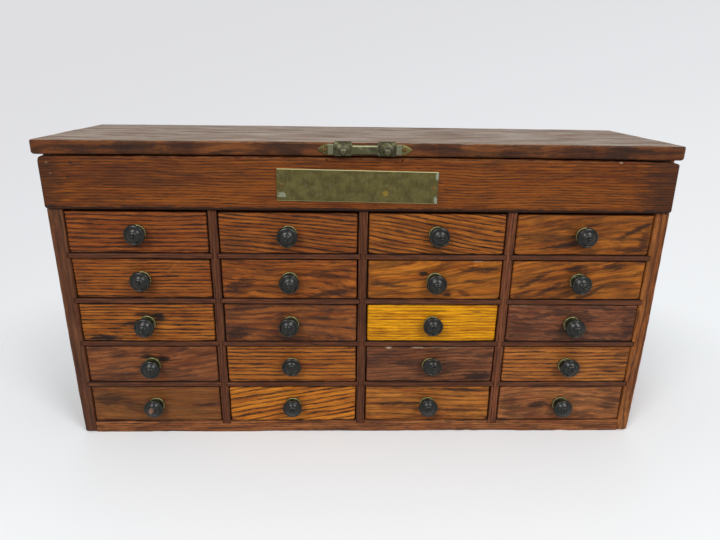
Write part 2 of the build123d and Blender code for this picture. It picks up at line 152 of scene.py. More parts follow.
class CabinetStudio(bpy.types.PropertyGroup):
    """The camera, the lamps and the floor."""

    eye: FloatVectorProperty(
        name="Camera",
        description="Where the camera stands",
        subtype="TRANSLATION",
        unit="LENGTH",
        default=(-0.01355, -0.44027, 0.26709),
    )
    turn: FloatProperty(
        name="Turn", description="Camera's turn about the vertical", unit="ROTATION", default=-0.0303
    )
    tilt: FloatProperty(
        name="Tilt", description="Camera's tilt up from straight down", unit="ROTATION", default=1.2405
    )
    roll: FloatProperty(
        name="Roll", description="Camera's roll about its view line", unit="ROTATION", default=0.0147
    )
    lens: FloatProperty(
        name="Lens",
        description="Focal length on a sensor 36 mm wide",
        unit="CAMERA",
        default=28.47,
        min=10,
        max=200,
    )
    sky: FloatProperty(
        name="Room light", description="Strength of the light from all round", default=0.42, min=0
    )
    lamp: FloatProperty(
        name="Softboxes", description="Power of each softbox over the front", unit="POWER", default=5.0, min=0
    )
    strip: FloatProperty(
        name="Strip", description="Power of the strip of light behind", unit="POWER", default=2.0, min=0
    )
    backdrop: colour_setting("Backdrop", "Colour behind the cabinet", 223, 223, 226)
    floor: colour_setting("Floor", "Colour of the floor", 245, 248, 250)


# ------------------------------------------------------------------ shader maths


class Wire:
    """An output socket. Arithmetic on it adds Math nodes, or Vector Math nodes if it is a vector."""

    def __init__(self, shader, socket, vector=False):
        self.shader, self.socket, self.vector = shader, socket, vector

    def _math(self, operation, *terms):
        kind = "ShaderNodeVectorMath" if self.vector else "ShaderNodeMath"
        return self.shader.node(kind, {"operation": operation}, dict(enumerate(terms)), vector=self.vector)

    def __add__(self, other):
        return self._math("ADD", self, other)

    def __radd__(self, other):
        return self._math("ADD", other, self)

    def __sub__(self, other):
        return self._math("SUBTRACT", self, other)

    def __rsub__(self, other):
        return self._math("SUBTRACT", other, self)

    def __mul__(self, other):
        return self._math("MULTIPLY", self, other)

    def __rmul__(self, other):
        return self._math("MULTIPLY", other, self)

    def __truediv__(self, other):
        return self._math("DIVIDE", self, other)

    def __rtruediv__(self, other):
        return self._math("DIVIDE", other, self)

    def __abs__(self):
        return self._math("ABSOLUTE", self)

    def fraction(self):
        return self._math("FRACT", self)

    def root(self):
        return self._math("SQRT", self)

    def at_least(self, other):
        return self._math("MAXIMUM", self, other)

    def at_most(self, other):
        return self._math("MINIMUM", self, other)

    def step(self, start, end):
        """0 before start, 1 after end and smooth between them. It falls where end is below start."""
        if end < start:
            return 1.0 - self.step(end, start)
        return self.shader.node(
            "ShaderNodeMapRange",
            {"interpolation_type": "SMOOTHSTEP"},
            {"Value": self, "From Min": start, "From Max": end},
        )


class Shader:
    """A material or a world, and the few ways in which its nodes are added."""

    def __init__(self, name, kind="materials"):
        self.made = getattr(bpy.data, kind).new(name)
        self.made.use_nodes = True
        self.tree = self.made.node_tree
        self.tree.nodes.clear()

    def node(self, kind, settings=None, sockets=None, out=0, vector=False):
        """Adds a node: its settings first, then values or wires for its sockets."""
        made = self.tree.nodes.new(kind)
        for name, value in (settings or {}).items():
            setattr(made, name, value)
        for key, value in (sockets or {}).items():
            if isinstance(value, Wire):
                self.tree.links.new(value.socket, made.inputs[key])
            else:
                made.inputs[key].default_value = value
        return Wire(self, made.outputs[out], vector) if len(made.outputs) else made

    def place(self, centre=(0, 0, 0)):
        """The point's distance from centre along X, Y and Z, in millimetres."""
        here = self.node("ShaderNodeTexCoord", out="Object", vector=True)
        here = (here - tuple(centre)) * (1 / MM, 1 / MM, 1 / MM)
        return [self.node("ShaderNodeSeparateXYZ", None, {0: here}, out=n) for n in range(3)]

    def cloud(self, u, v, w, detail=2.0, roughness=0.5):
        """Smooth noise about 0.5, one cell for each unit of u, v and w."""
        at = self.node("ShaderNodeCombineXYZ", None, {0: u, 1: v, 2: w}, vector=True)
        return self.node(
            "ShaderNodeTexNoise", None, {"Vector": at, "Scale": 1.0, "Detail": detail, "Roughness": roughness}
        )

    def mix(self, share, low, high):
        """The colour low where share is 0 and high where it is 1."""
        low, high = (c if isinstance(c, Wire) else (*c, 1.0) for c in (low, high))
        return self.node("ShaderNodeMix", {"data_type": "RGBA"}, {0: share, 6: low, 7: high}, out=2)

    def finish(self, colour, roughness, height=None, relief=0.1 * MM, **others):
        """Joins the colour, the roughness and the relief to the surface, and gives the material."""
        sockets = {"Base Color": colour, "Roughness": roughness}
        sockets.update({name.replace("_", " "): value for name, value in others.items()})
        if height is not None:
            sockets["Normal"] = self.node("ShaderNodeBump", None, {"Distance": relief, "Height": height})
        surface = self.node("ShaderNodeBsdfPrincipled", None, sockets)
        self.node("ShaderNodeOutputMaterial", None, {"Surface": surface})
        return self.made


# ------------------------------------------------------------------ oak

# light, dark: the wood between the growth lines and the lines themselves. pitch: millimetres from
# line to line. rise: how far the lines climb for each millimetre along the board. pith: where the
# tree's heart lay, across and behind the face. taper: how fast the rings close along the board,
# which draws flames. sway, ripple: slow and quick bends of the lines. lines, mottle: how dark the
# lines and the patches of old stain are.
Figure = namedtuple("Figure", "light dark pitch rise pith taper sway ripple lines mottle seed")

STRAIGHT = (-190.0, 60.0)
RUSSET = Figure(tone(148, 82, 28), tone(38, 24, 18), 2.3, 0.0, STRAIGHT, 0.0, 1.4, 0.25, 0.95, 0.25, 0.0)
TAWNY = RUSSET._replace(light=tone(158, 92, 30))
GOLDEN = RUSSET._replace(light=tone(186, 115, 32), dark=tone(56, 34, 22))
YELLOW = RUSSET._replace(light=tone(217, 150, 9), dark=tone(88, 42, 12))
MAROON = RUSSET._replace(light=tone(128, 74, 38), dark=tone(48, 33, 28))
UMBER = RUSSET._replace(light=tone(117, 71, 33), dark=tone(50, 33, 25))

# What a mark is made of. A mark is (kind, x, z, half its width, half its height, rise, strength):
# millimetres from the middle of the board's face, with the rise in millimetres per millimetre.
# Dark marks take the grime colour. Most are real stains, but some are painted shade, such as the apron's foot and the
# shadow below each knob, and one is a painted sheen streak.
STAIN_AND_SHADE, GLOW, CHIP = "stain", "glow", "chip"
SPLINTERED = tone(170, 150, 124)

FRONTS = {
    "r1c1": (RUSSET._replace(light=tone(139, 74, 26), pitch=2.9, mottle=0.1, seed=1.0), []),
    "r1c2": (
        RUSSET._replace(light=tone(142, 78, 26), pitch=2.7, rise=-0.08, sway=2.2, seed=2.0),
        [(STAIN_AND_SHADE, -38, -8, 12, 6, 0, 0.35)],
    ),
    "r1c3": (TAWNY._replace(pitch=3.0, rise=-0.17, sway=2.2, seed=3.0), [(STAIN_AND_SHADE, -36, -9, 14, 5, 0, 0.3)]),
    "r1c4": (
        TAWNY._replace(light=tone(148, 86, 29), pitch=4.2, rise=0.14, pith=(-36.0, 40.0), taper=0.04, sway=4.0,
                       lines=0.5, mottle=0.5, seed=4.0),
        [
            (STAIN_AND_SHADE, -28, -2, 19, 2.8, 0.05, 0.55), (STAIN_AND_SHADE, -9, -7, 18, 2.6, 0.2, 0.8),
            (STAIN_AND_SHADE, 37, 4, 12, 2.4, 0.5, 0.85), (STAIN_AND_SHADE, 44, -6, 4, 8, 0, 0.7), (STAIN_AND_SHADE, 35, -11, 10, 2.5, 0.1, 0.6),
            (STAIN_AND_SHADE, -20, 7, 16, 1.4, 0, 0.4), (GLOW, 20, -4, 14, 4, 0.2, 0.5), (GLOW, -38, 9, 9, 2.5, 0, 0.4),
        ],
    ),
    "r2c1": (
        RUSSET._replace(pitch=2.4, sway=1.4, lines=0.85, mottle=0.15, seed=5.0),
        [(GLOW, 22, 9, 4, 0.6, 0.9, 0.8), (STAIN_AND_SHADE, -42, 0, 5, 12, 0, 0.3)],
    ),
    "r2c2": (
        RUSSET._replace(pitch=3.2, rise=0.06, pith=(-26.0, 30.0), taper=0.1, sway=3.0, ripple=1.2, lines=0.6,
                        mottle=0.6, seed=6.0),
        [
            (STAIN_AND_SHADE, -36, -4, 12, 4, 0.3, 0.75), (STAIN_AND_SHADE, -38, -10, 9, 2.5, 0, 0.6), (STAIN_AND_SHADE, 31, -10, 18, 3, 0.15, 0.8),
            (STAIN_AND_SHADE, 18, 5, 12, 1.8, 0.1, 0.5), (STAIN_AND_SHADE, -17, 5, 10, 1.5, 0, 0.4), (GLOW, -12, 1, 10, 3.5, 0.1, 0.5),
            (GLOW, 38, -4, 9, 2.6, 0.1, 0.6),
        ],
    ),
    "r2c3": (
        TAWNY._replace(light=tone(164, 97, 28), pitch=4.0, pith=(22.0, 30.0), taper=0.1, sway=3.0, lines=0.45,
                       mottle=0.4, seed=7.0),
        [
            (GLOW, -30, 8, 18, 5, 0, 0.5), (STAIN_AND_SHADE, -8, 4.7, 3.4, 1.9, 0, 0.95),
            (STAIN_AND_SHADE, -34, -3.5, 16, 2.2, -0.1, 0.75), (STAIN_AND_SHADE, -33, -10, 15, 1.6, 0, 0.55),
            (STAIN_AND_SHADE, 32, 8, 15, 2.8, 0, 0.75), (STAIN_AND_SHADE, 31, -1, 11, 1.5, 0, 0.6),
            (STAIN_AND_SHADE, 10, -11, 3.4, 2.2, 0, 0.9), (STAIN_AND_SHADE, 22, -10, 6, 2, -0.4, 0.6), (CHIP, 31, 14.4, 4, 0.7, 0, 0.9),
        ],
    ),
    "r2c4": (
        TAWNY._replace(pitch=4.0, rise=0.24, pith=(-34.0, 34.0), taper=0.06, sway=4.4, ripple=1.0, lines=0.55,
                       mottle=0.35, seed=8.0),
        [
            (STAIN_AND_SHADE, -32, 0, 13, 2.2, 0.6, 0.75), (STAIN_AND_SHADE, -19, -6, 13, 2, 0.5, 0.7), (STAIN_AND_SHADE, -2, 9, 8, 3.5, 0.1, 0.85),
            (STAIN_AND_SHADE, -6, -11, 15, 2.6, 0.2, 0.6), (STAIN_AND_SHADE, 25, 11, 8, 3, 0.1, 0.75), (STAIN_AND_SHADE, 29, -3, 16, 2.8, 0.2, 0.6),
            (STAIN_AND_SHADE, 12, -9, 9, 1.8, 0.6, 0.7), (STAIN_AND_SHADE, -40, -11, 8, 2, 0.4, 0.6), (GLOW, -30, 10, 14, 2.5, 0.1, 0.4),
        ],
    ),
    "r3c1": (
        TAWNY._replace(pitch=2.8, sway=1.2, lines=0.9, mottle=0.1, seed=9.0),
        [
            (STAIN_AND_SHADE, 8, 5, 6.5, 4.4, 0, 1.0), (STAIN_AND_SHADE, -2, 6.5, 8, 2.4, 0, 0.8), (STAIN_AND_SHADE, -14, -1, 8, 2.2, 0.1, 0.9),
            (STAIN_AND_SHADE, -33, -12.5, 15, 3, 0, 1.0), (GLOW, 36, -8, 12, 3, 0, 0.4),
        ],
    ),
    "r3c2": (
        MAROON._replace(light=tone(129, 73, 32), pitch=3.2, rise=0.08, pith=(-20.0, 30.0), taper=0.08, sway=3.4,
                        ripple=1.2, lines=0.6, mottle=0.75, seed=10.0),
        [
            (STAIN_AND_SHADE, -40, -9, 9, 5, 0, 0.85), (STAIN_AND_SHADE, 0, -12, 32, 2.6, 0, 0.6), (STAIN_AND_SHADE, -38, 11, 10, 3, 0, 0.4),
            # The streak at x 20, z 4 is a painted sheen streak, laid in the grime colour.
            (STAIN_AND_SHADE, 20, 4, 15, 1.8, -0.1, 0.5), (GLOW, -30, 4, 10, 3.2, 0.3, 0.6), (GLOW, 44, 3, 4, 3, 0, 0.9),
            (GLOW, 14, -4, 7, 2, 0.1, 0.5),
        ],
    ),
    "r3c3": (
        YELLOW._replace(pitch=2.2, sway=1.2, lines=0.62, mottle=0.0, seed=11.0),
        [(STAIN_AND_SHADE, 33, 9, 4, 1.2, 0, 0.5), (STAIN_AND_SHADE, -34, -8, 16, 3, 0, 0.15), (STAIN_AND_SHADE, 6, 10, 7, 1, 0, 0.4)],
    ),
    "r3c4": (
        MAROON._replace(light=tone(124, 75, 47), pitch=3.0, pith=(-34.0, 40.0), taper=0.04, sway=3.0, ripple=1.0,
                        lines=0.5, mottle=0.9, seed=12.0),
        [
            (STAIN_AND_SHADE, -36, -5, 16, 10, 0, 0.5), (STAIN_AND_SHADE, 44, 0, 7, 14, 0, 0.4), (GLOW, -22, 3.5, 6, 2.6, 0.1, 0.9),
            (GLOW, 13, 10, 16, 1.6, 0, 0.7), (GLOW, 22, -12, 12, 1.6, 0, 0.6), (STAIN_AND_SHADE, 0, -2, 12, 5, 0, 0.4),
            (CHIP, -34, 14.4, 14, 0.5, 0, 0.4),
        ],
    ),
    "r4c1": (
        MAROON._replace(light=tone(127, 75, 40), pitch=3.6, pith=(24.0, 30.0), taper=0.1, sway=4.0, ripple=1.0,
                        lines=0.45, mottle=0.55, seed=13.0),
        [
            (STAIN_AND_SHADE, 7, 4.5, 6, 3.4, 0, 1.0), (STAIN_AND_SHADE, -3, 6, 7, 2.2, 0, 0.9), (GLOW, -38, 6.5, 9, 2.6, 0, 0.7),
            (STAIN_AND_SHADE, -24, 9, 7, 5, 0, 0.5), (STAIN_AND_SHADE, -22, -11, 13, 3, 0.1, 0.5), (GLOW, 26, -4, 14, 2, -0.2, 0.5),
            (STAIN_AND_SHADE, 34, 10, 14, 3, -0.1, 0.4),
        ],
    ),
    "r4c2": (GOLDEN._replace(light=tone(160, 94, 32), pitch=3.0, sway=1.0, lines=0.9, mottle=0.1, seed=14.0), []),
    "r4c3": (
        MAROON._replace(light=tone(122, 74, 44), pitch=2.6, rise=0.05, sway=2.4, lines=0.6, mottle=0.75, seed=15.0),
        [
            (STAIN_AND_SHADE, 38, -10, 12, 4.6, 0, 0.8), (STAIN_AND_SHADE, 17, -2, 9, 5, 0, 0.5), (STAIN_AND_SHADE, -18, 2, 9, 4, 0, 0.4),
            (GLOW, 34, 9, 9, 1.2, 0, 0.7), (GLOW, -32, -2, 12, 2, 0.1, 0.4), (CHIP, -31, 14.2, 2.6, 0.9, 0, 1.0),
            (CHIP, -9, 14.2, 5, 0.8, 0, 1.0), (CHIP, 12, 14.4, 22, 0.5, 0, 0.5),
        ],
    ),
    "r4c4": (
        GOLDEN._replace(light=tone(170, 104, 44), pitch=3.0, sway=1.3, lines=0.85, mottle=0.25, seed=16.0),
        [(STAIN_AND_SHADE, 36, -3, 12, 6, 0, 0.4), (STAIN_AND_SHADE, -34, -9, 11, 3, 0, 0.35), (STAIN_AND_SHADE, 42, 8, 6, 3, 0, 0.5)],
    ),
    "r5c1": (
        UMBER._replace(pitch=5.0, pith=(-30.0, 30.0), taper=0.04, sway=3.0, lines=0.2, mottle=0.35, seed=17.0),
        [
            (STAIN_AND_SHADE, -34, 4, 13, 6, 0, 0.7), (STAIN_AND_SHADE, -18, -1, 8, 4, 0, 0.45), (GLOW, -32, -9, 14, 3, 0.1, 0.7),
            (GLOW, 22, -5, 18, 4, 0, 0.4), (STAIN_AND_SHADE, 37, -1, 10, 1.5, 0.1, 0.6),
        ],
    ),
    "r5c2": (
        GOLDEN._replace(light=tone(191, 116, 32), pitch=3.8, rise=0.19, sway=1.6, lines=0.95, mottle=0.05, seed=18.0),
        [],
    ),
    "r5c3": (
        GOLDEN._replace(light=tone(165, 101, 39), pitch=4.0, rise=0.02, pith=(-30.0, 26.0), taper=0.05, sway=2.6,
                        lines=0.6, mottle=0.3, seed=19.0),
        [
            (GLOW, -28, 8, 15, 2.8, 0, 0.8), (STAIN_AND_SHADE, 26, 12, 22, 1.6, -0.05, 0.8), (STAIN_AND_SHADE, -22, 0, 21, 2, 0.02, 0.8),
            (STAIN_AND_SHADE, 28, -6, 17, 3, 0, 0.5), (GLOW, -40, -8, 7, 4, 0, 0.6), (GLOW, 18, 0, 13, 2.2, 0, 0.5),
            (STAIN_AND_SHADE, 0, -12, 24, 1.4, 0.05, 0.5),
        ],
    ),
    "r5c4": (
        UMBER._replace(light=tone(150, 94, 52), pitch=4.2, rise=0.06, pith=(-32.0, 34.0), taper=0.05, sway=5.0,
                       ripple=1.2, lines=0.45, mottle=0.6, seed=20.0),
        [
            (GLOW, 4, 8, 26, 4, 0, 0.7), (STAIN_AND_SHADE, -40, 0, 7, 8, 0, 0.5), (STAIN_AND_SHADE, -18, -1, 8, 3.4, 0.1, 0.7),
            (STAIN_AND_SHADE, 40, 0, 9, 10, 0, 0.5), (GLOW, -8, -9, 5, 3, 0.3, 0.6), (STAIN_AND_SHADE, 14, -12, 16, 2, 0, 0.4),
        ],
    ),
}

APRON_OAK = RUSSET._replace(light=tone(124, 66, 19), dark=tone(48, 27, 16), pitch=1.8, sway=2.0, lines=0.72,
                            mottle=0.35, seed=31.0)
LID_OAK = RUSSET._replace(light=tone(108, 61, 28), dark=tone(42, 27, 20), pitch=2.6, sway=3.0, lines=0.6,
                          mottle=0.8, seed=32.0)
LEFT_STILE_OAK = RUSSET._replace(light=tone(118, 73, 46), dark=tone(54, 34, 25), pitch=2.0, sway=1.4, lines=0.6,
                                 mottle=0.3, seed=33.0)
# The right side board is paler than the left, partly as painted light for the stronger light on the cabinet's right.
RIGHT_STILE_OAK = LEFT_STILE_OAK._replace(light=tone(170, 104, 50), dark=tone(72, 42, 26), lines=0.7, seed=38.0)
PARTITION_OAK = LEFT_STILE_OAK._replace(light=tone(104, 60, 36), dark=tone(46, 29, 22), lines=0.7, seed=34.0)
# How pale each partition is, beside the others.
PARTITIONS = {"partition_left": 0.82, "partition_middle": 0.76, "partition_right": 1.4}
RAIL_OAK = RUSSET._replace(light=tone(150, 92, 50), dark=tone(44, 29, 23), pitch=1.8, lines=0.75, mottle=0.7,
                           seed=35.0)
SHELF_OAK = RAIL_OAK._replace(light=tone(102, 59, 35), dark=tone(40, 26, 21), lines=0.6, mottle=0.45)
BACK_OAK = LEFT_STILE_OAK._replace(light=tone(122, 84, 56), pitch=4.5, pith=(-130.0, 60.0), taper=0.02, sway=6.0,
                              lines=0.5, mottle=0.4, seed=36.0)
# Blots, glowing patches and bruises along the lid's front edge, which lies 60 mm before its middle.
LID_MARKS = [
    (STAIN_AND_SHADE, -149, -60, 14, 3, 0, 0.6), (STAIN_AND_SHADE, -118, -60, 11, 3, 0, 0.5), (GLOW, -88, -60, 20, 4, 0, 0.8),
    (STAIN_AND_SHADE, -46, -60, 8, 3, 0, 0.5), (GLOW, 79, -60, 15, 3, 0, 0.9), (STAIN_AND_SHADE, 58, -60, 10, 3, 0, 0.5),
    (STAIN_AND_SHADE, 145, -60, 10, 3, 0, 0.45), (STAIN_AND_SHADE, 172, -60, 11, 3, 0, 0.5), (GLOW, 115, -60, 14, 3, 0, 0.7),
]
# The apron's ends are dark, and a band of painted shade lies along its rounded foot, which faces down. Pale and dark
# pits lie near its ends.
APRON_MARKS = [
    (STAIN_AND_SHADE, 0, -17, 600, 2.0, 0, 0.85), (STAIN_AND_SHADE, -214, 4, 13, 30, 0, 0.5), (STAIN_AND_SHADE, 212, 0, 24, 40, 0, 0.6),
    (CHIP, -208.9, 14, 0.9, 0.7, 0, 0.3), (CHIP, -207.4, 6.8, 0.9, 0.6, 0, 0.25),
    (CHIP, 173.9, 17.2, 1.2, 0.7, 0, 0.6), (STAIN_AND_SHADE, -193.3, 14, 1.2, 0.9, 0, 0.9),
    (STAIN_AND_SHADE, -196.7, 4.2, 1.0, 0.8, 0, 0.8), (STAIN_AND_SHADE, -30, 15, 14, 1.2, 0, 0.4), (STAIN_AND_SHADE, -150, 6, 60, 9, 0, 0.3),
    (GLOW, -60, -4, 100, 6, 0, 0.45),
    (GLOW, 120, -6, 80, 8, 0, 0.5), (GLOW, -120, -11, 60, 3, 0, 0.6), (GLOW, 60, 8, 60, 4, 0, 0.4),
]
INNER_WOOD = RUSSET._replace(light=tone(176, 138, 92), dark=tone(118, 84, 52), pitch=3.2, sway=2.0, lines=0.5,
                             mottle=0.35, seed=37.0)

# How far a knob's rim has moved to the right and up, in millimetres, where it has worked loose.
LEANS = {
    "r1c2": (-0.4, -0.9), "r1c3": (0.8, -0.3), "r2c2": (0.0, -1.2), "r2c3": (0.8, -1.2), "r2c4": (0.8, -1.0),
    "r3c1": (-0.8, -1.2), "r3c2": (-1.2, -0.6), "r3c4": (1.2, -1.2), "r4c1": (0.0, -1.0), "r4c2": (0.0, 1.0),
    "r4c3": (1.2, 1.3), "r4c4": (1.2, 0.4), "r5c1": (-0.8, 0.0), "r5c4": (0.5, -0.9),
}
RIM_REACH = 6.8  # from the drawer front to the rim's middle
KNOB_TURN = 2.4  # radians from each knob's grain to the next one's
KNOB_GROOVES = (5.75, 3.1)  # radii of the two grooves turned round the head
CHIPPED_KNOB = "r5c1"
BOX_PIECE = (1.0, 1.0, 1.0)  # the boxes' finish has no grime at its edges, so their size isn't used
# Darkening round and below every front's knob: finger grime, with painted shadow of the knob below it.
KNOB_GRIME_AND_SHADOW = (STAIN_AND_SHADE, 0, -3.5, 10, 8, 0, 0.42)


def tinted(colour, red, green=None, blue=None):
    """A colour with its three parts scaled."""
    scales = (red, green or red, blue or green or red)
    return tuple(min(1.0, part * scale) for part, scale in zip(colour, scales))


def oak(name, centre, size, axes, figure, marks=(), grime=0.5, rubbed=0.0, dust=0.0, rows=0.0):
    """Old stained oak. axes names the directions along the grain, across it and through the board.

    rows is the distance between like boards that share the finish, one above the other.
    """
    wood = bpy.context.scene.cabinet_wood
    shader = Shader(name)
    places = dict(zip("XYZ", shader.place(centre)))
    sizes = dict(zip("XYZ", (length / MM for length in size)))
    u, v, w = (places[axis] for axis in axes)
    seed = figure.seed * 7.31

    # growth lines: rings round the heart, bent along the board, cut by the face
    slow = shader.cloud(u / 62, v / 24 + seed, w / 24, 1.0) - 0.5
    quick = shader.cloud(u / 11, v / 3.2 + seed, w / 3.2, 2.0) - 0.5
    across = v - figure.pith[0] - figure.rise * u + slow * (2.6 * figure.sway) + quick * (2.2 * figure.ripple)
    through = w + figure.pith[1] + figure.taper * u
    radius = (across * across + through * through).root()
    ring = radius / figure.pitch + shader.cloud(radius / 9, seed, 0.0, 1.0) * 1.6
    edge = abs(ring.fraction() * 2.0 - 1.0)
    uneven = shader.cloud(u / 20, ring * 0.83, seed, 3.0, 0.6)
    line = (edge + (uneven - 0.5) * 1.3).step(0.5, 0.84)

    # short dark dashes, open pores, and streaks along the lines
    dashes = shader.cloud(u / 10, radius * 1.5, w * 1.5 + seed, 2.0, 0.6).step(0.48, 0.6)
    pores = shader.cloud(u / 3.6, radius * 3.1, w * 3.1 + seed, 1.0).step(0.56, 0.7)
    fibre = shader.cloud(u / 24, radius / 0.75, w / 0.75 + seed, 3.0, 0.65)
    streak = shader.cloud(u / 42, radius / 3.2, seed, 3.0, 0.55)
    patch = shader.cloud(u / 24 + seed, radius / 4.4, w / 9, 4.0, 0.65)
    ragged = (shader.cloud(u / 8, v / 1.3, seed, 4.0, 0.7) - 0.5) * 2.8

    def mark(x, z, half_width, half_height, rise, strength):
        """How far a mark with ragged edges covers the wood."""
        beside = u - x
        away_x, away_z = beside / half_width, (v - z - beside * rise) / half_height
        return ((away_x * away_x + away_z * away_z).root() + ragged).step(1.25, 0.45) * strength

    light = shader.mix(streak.step(0.34, 0.66), tinted(figure.light, 0.66, 0.52), figure.light)
    for kind, *place in marks:
        if kind == GLOW:
            light = shader.mix(mark(*place), light, tinted(figure.light, 1.25, 1.3))
    light = shader.mix(fibre.step(0.48, 0.66) * 0.75, light, tinted(figure.light, 1.42, 1.5))
    light = shader.mix(fibre.step(0.5, 0.3) * 0.5, light, tinted(figure.dark, 1.7))
    dark = line * (0.7 + 0.3 * dashes) + dashes * 0.28 + pores * 0.2
    dark = (dark * figure.lines).at_most(1.0)
    colour = shader.mix(dark, light, figure.dark)
    stained = (patch + (fibre - 0.5) * 0.35).step(0.49, 0.6) * (0.85 * figure.mottle)
    colour = shader.mix(stained, colour, figure.dark)
    for kind, *place in marks:
        if kind != GLOW:
            colour = shader.mix(mark(*place), colour, tuple(wood.grime) if kind == STAIN_AND_SHADE else SPLINTERED)

    # grime and painted shade along the board's edges, where they meet the dark gaps, and stain rubbed off the very
    # edge
    half_u, half_v, half_w = (sizes[axis] / 2 for axis in axes)
    beside = (v / rows).fraction() * rows - rows / 2 if rows else v
    inward = (half_u - abs(u)).at_most(half_v - abs(beside))
    haze = shader.cloud(u / 11, v / 3.0, w / 3.0 + seed, 3.0, 0.6)
    shade_and_dirt = (inward + (haze - 0.5) * 3.0).step(1.0, 0.0) * grime
    colour = shader.mix(shade_and_dirt, colour, tuple(wood.grime))
    if rubbed:
        corner = (half_w - abs(w)).at_least(0.0) + (half_v - abs(v)).at_least(0.0)
        worn = (corner + (haze - 0.5) * 4.0).step(1.5, 0.3) * haze.step(0.44, 0.6) * rubbed
        colour = shader.mix(worn, colour, tuple(wood.bare))
    roughness = wood.roughness + 0.18 * dark + 0.12 * haze
    # Pale grey on faces that look up: partly real dust and partly painted sheen of the pale room seen at a low angle.
    if dust:
        lies = shader.node("ShaderNodeNewGeometry", out="Normal", vector=True)
        up = shader.node("ShaderNodeSeparateXYZ", None, {0: lies}, out=2).step(0.8, 0.98)
        grey = shader.cloud(u / 46, v / 8.0, seed, 5.0, 0.7).step(0.3, 0.7)
        colour = shader.mix(up * (0.3 + 0.7 * grey) * dust, colour, tone(166, 148, 124))
        roughness = roughness + up * (0.5 - grey) * 0.3

    height = 0.6 * fibre - 0.8 * dark - 0.4 * pores
    return shader.finish(colour, roughness, height, wood.relief, IOR=wood.gloss)


# ------------------------------------------------------------------ other finishes


def tarnish(shader, body, darkness, bloom, brushed):
    """Brown and pale tarnish over scratched brass: its colour, roughness, height and bloom."""
    metal = bpy.context.scene.cabinet_metal
    x, y, z = shader.place()
    fine, coarse = (1.6, 0.14) if brushed == "Z" else (0.14, 1.6)
    scratches = shader.cloud(x * fine, y * 1.2, z * coarse, 3.0, 0.65)
    stain = shader.cloud(x / 7, y / 5, z / 5, 4.0, 0.6)
    bloomed = shader.cloud(x / 3.1, y / 3.1, z / 3.1, 4.0, 0.65)
    colour = shader.mix(stain.step(0.34, 0.66) * darkness, body, tinted(body, 0.34, 0.32, 0.4))
    colour = shader.mix(scratches.step(0.45, 0.75) * 0.4, colour, tinted(body, 1.5))
    dull = bloomed.step(0.5, 0.7) * bloom
    colour = shader.mix(dull, colour, tuple(metal.verdigris))
    return colour, 0.32 + 0.2 * stain + 0.3 * dull, 0.7 * scratches - 0.5 * stain, dull


def brass(name, body, darkness, bloom):
    """Tarnished brass for the handle plate, the collars and the hinges."""
    shader = Shader(name)
    colour, roughness, height, dull = tarnish(shader, tuple(body), darkness, bloom, "X")
    return shader.finish(colour, roughness, height, 0.05 * MM, Metallic=1.0 - 0.7 * dull)


def plate_brass(middle, size, tilt):
    """The nameplate's brass: bright cut edges, the top one brightest as a painted highlight, grey bare patches at the
    ends and a yellow spot.
    """
    shader = Shader("brass_nameplate")
    body = tuple(bpy.context.scene.cabinet_metal.brass)
    colour, roughness, height, dull = tarnish(shader, body, 0.6, 0.12, "Z")
    x, y, z = shader.place(middle)
    along, up = x - tilt * z, z + tilt * x
    half_width, half_height = size[0] / 2 / MM, size[1] / 2 / MM
    ragged = (shader.cloud(x / 1.7, 0.0, z / 1.7, 4.0, 0.65) - 0.5) * 2.6
    spots = (
        (-half_width + 3.4, -half_height + 4.2, 3.0, 2.0, tone(138, 140, 118)),
        (half_width - 0.8, half_height - 2.8, 1.3, 2.6, tone(140, 146, 126)),
        (half_width - 1.0, -half_height + 2.6, 1.4, 2.8, tone(140, 146, 126)),
        (19.0, -4.5, 1.9, 2.0, tone(134, 112, 46)),
    )
    for spot_x, spot_z, spot_width, spot_height, other in spots:
        away_x, away_z = (along - spot_x) / spot_width, (up - spot_z) / spot_height
        spot = ((away_x * away_x + away_z * away_z).root() + ragged).step(1.1, 0.8)
        colour = shader.mix(spot * 0.9, colour, other)
    # Bright cut edges along the top and the foot; the top one is stronger as a painted highlight of the light from
    # above.
    top = (half_height - up + ragged * 0.12).step(0.8, 0.3)
    foot = (half_height + up + ragged * 0.12).step(0.6, 0.2)
    colour = shader.mix(top.at_least(foot * 0.35), colour, tone(214, 212, 156))
    return shader.finish(colour, roughness, height, 0.05 * MM, Metallic=0.85 - 0.6 * dull)


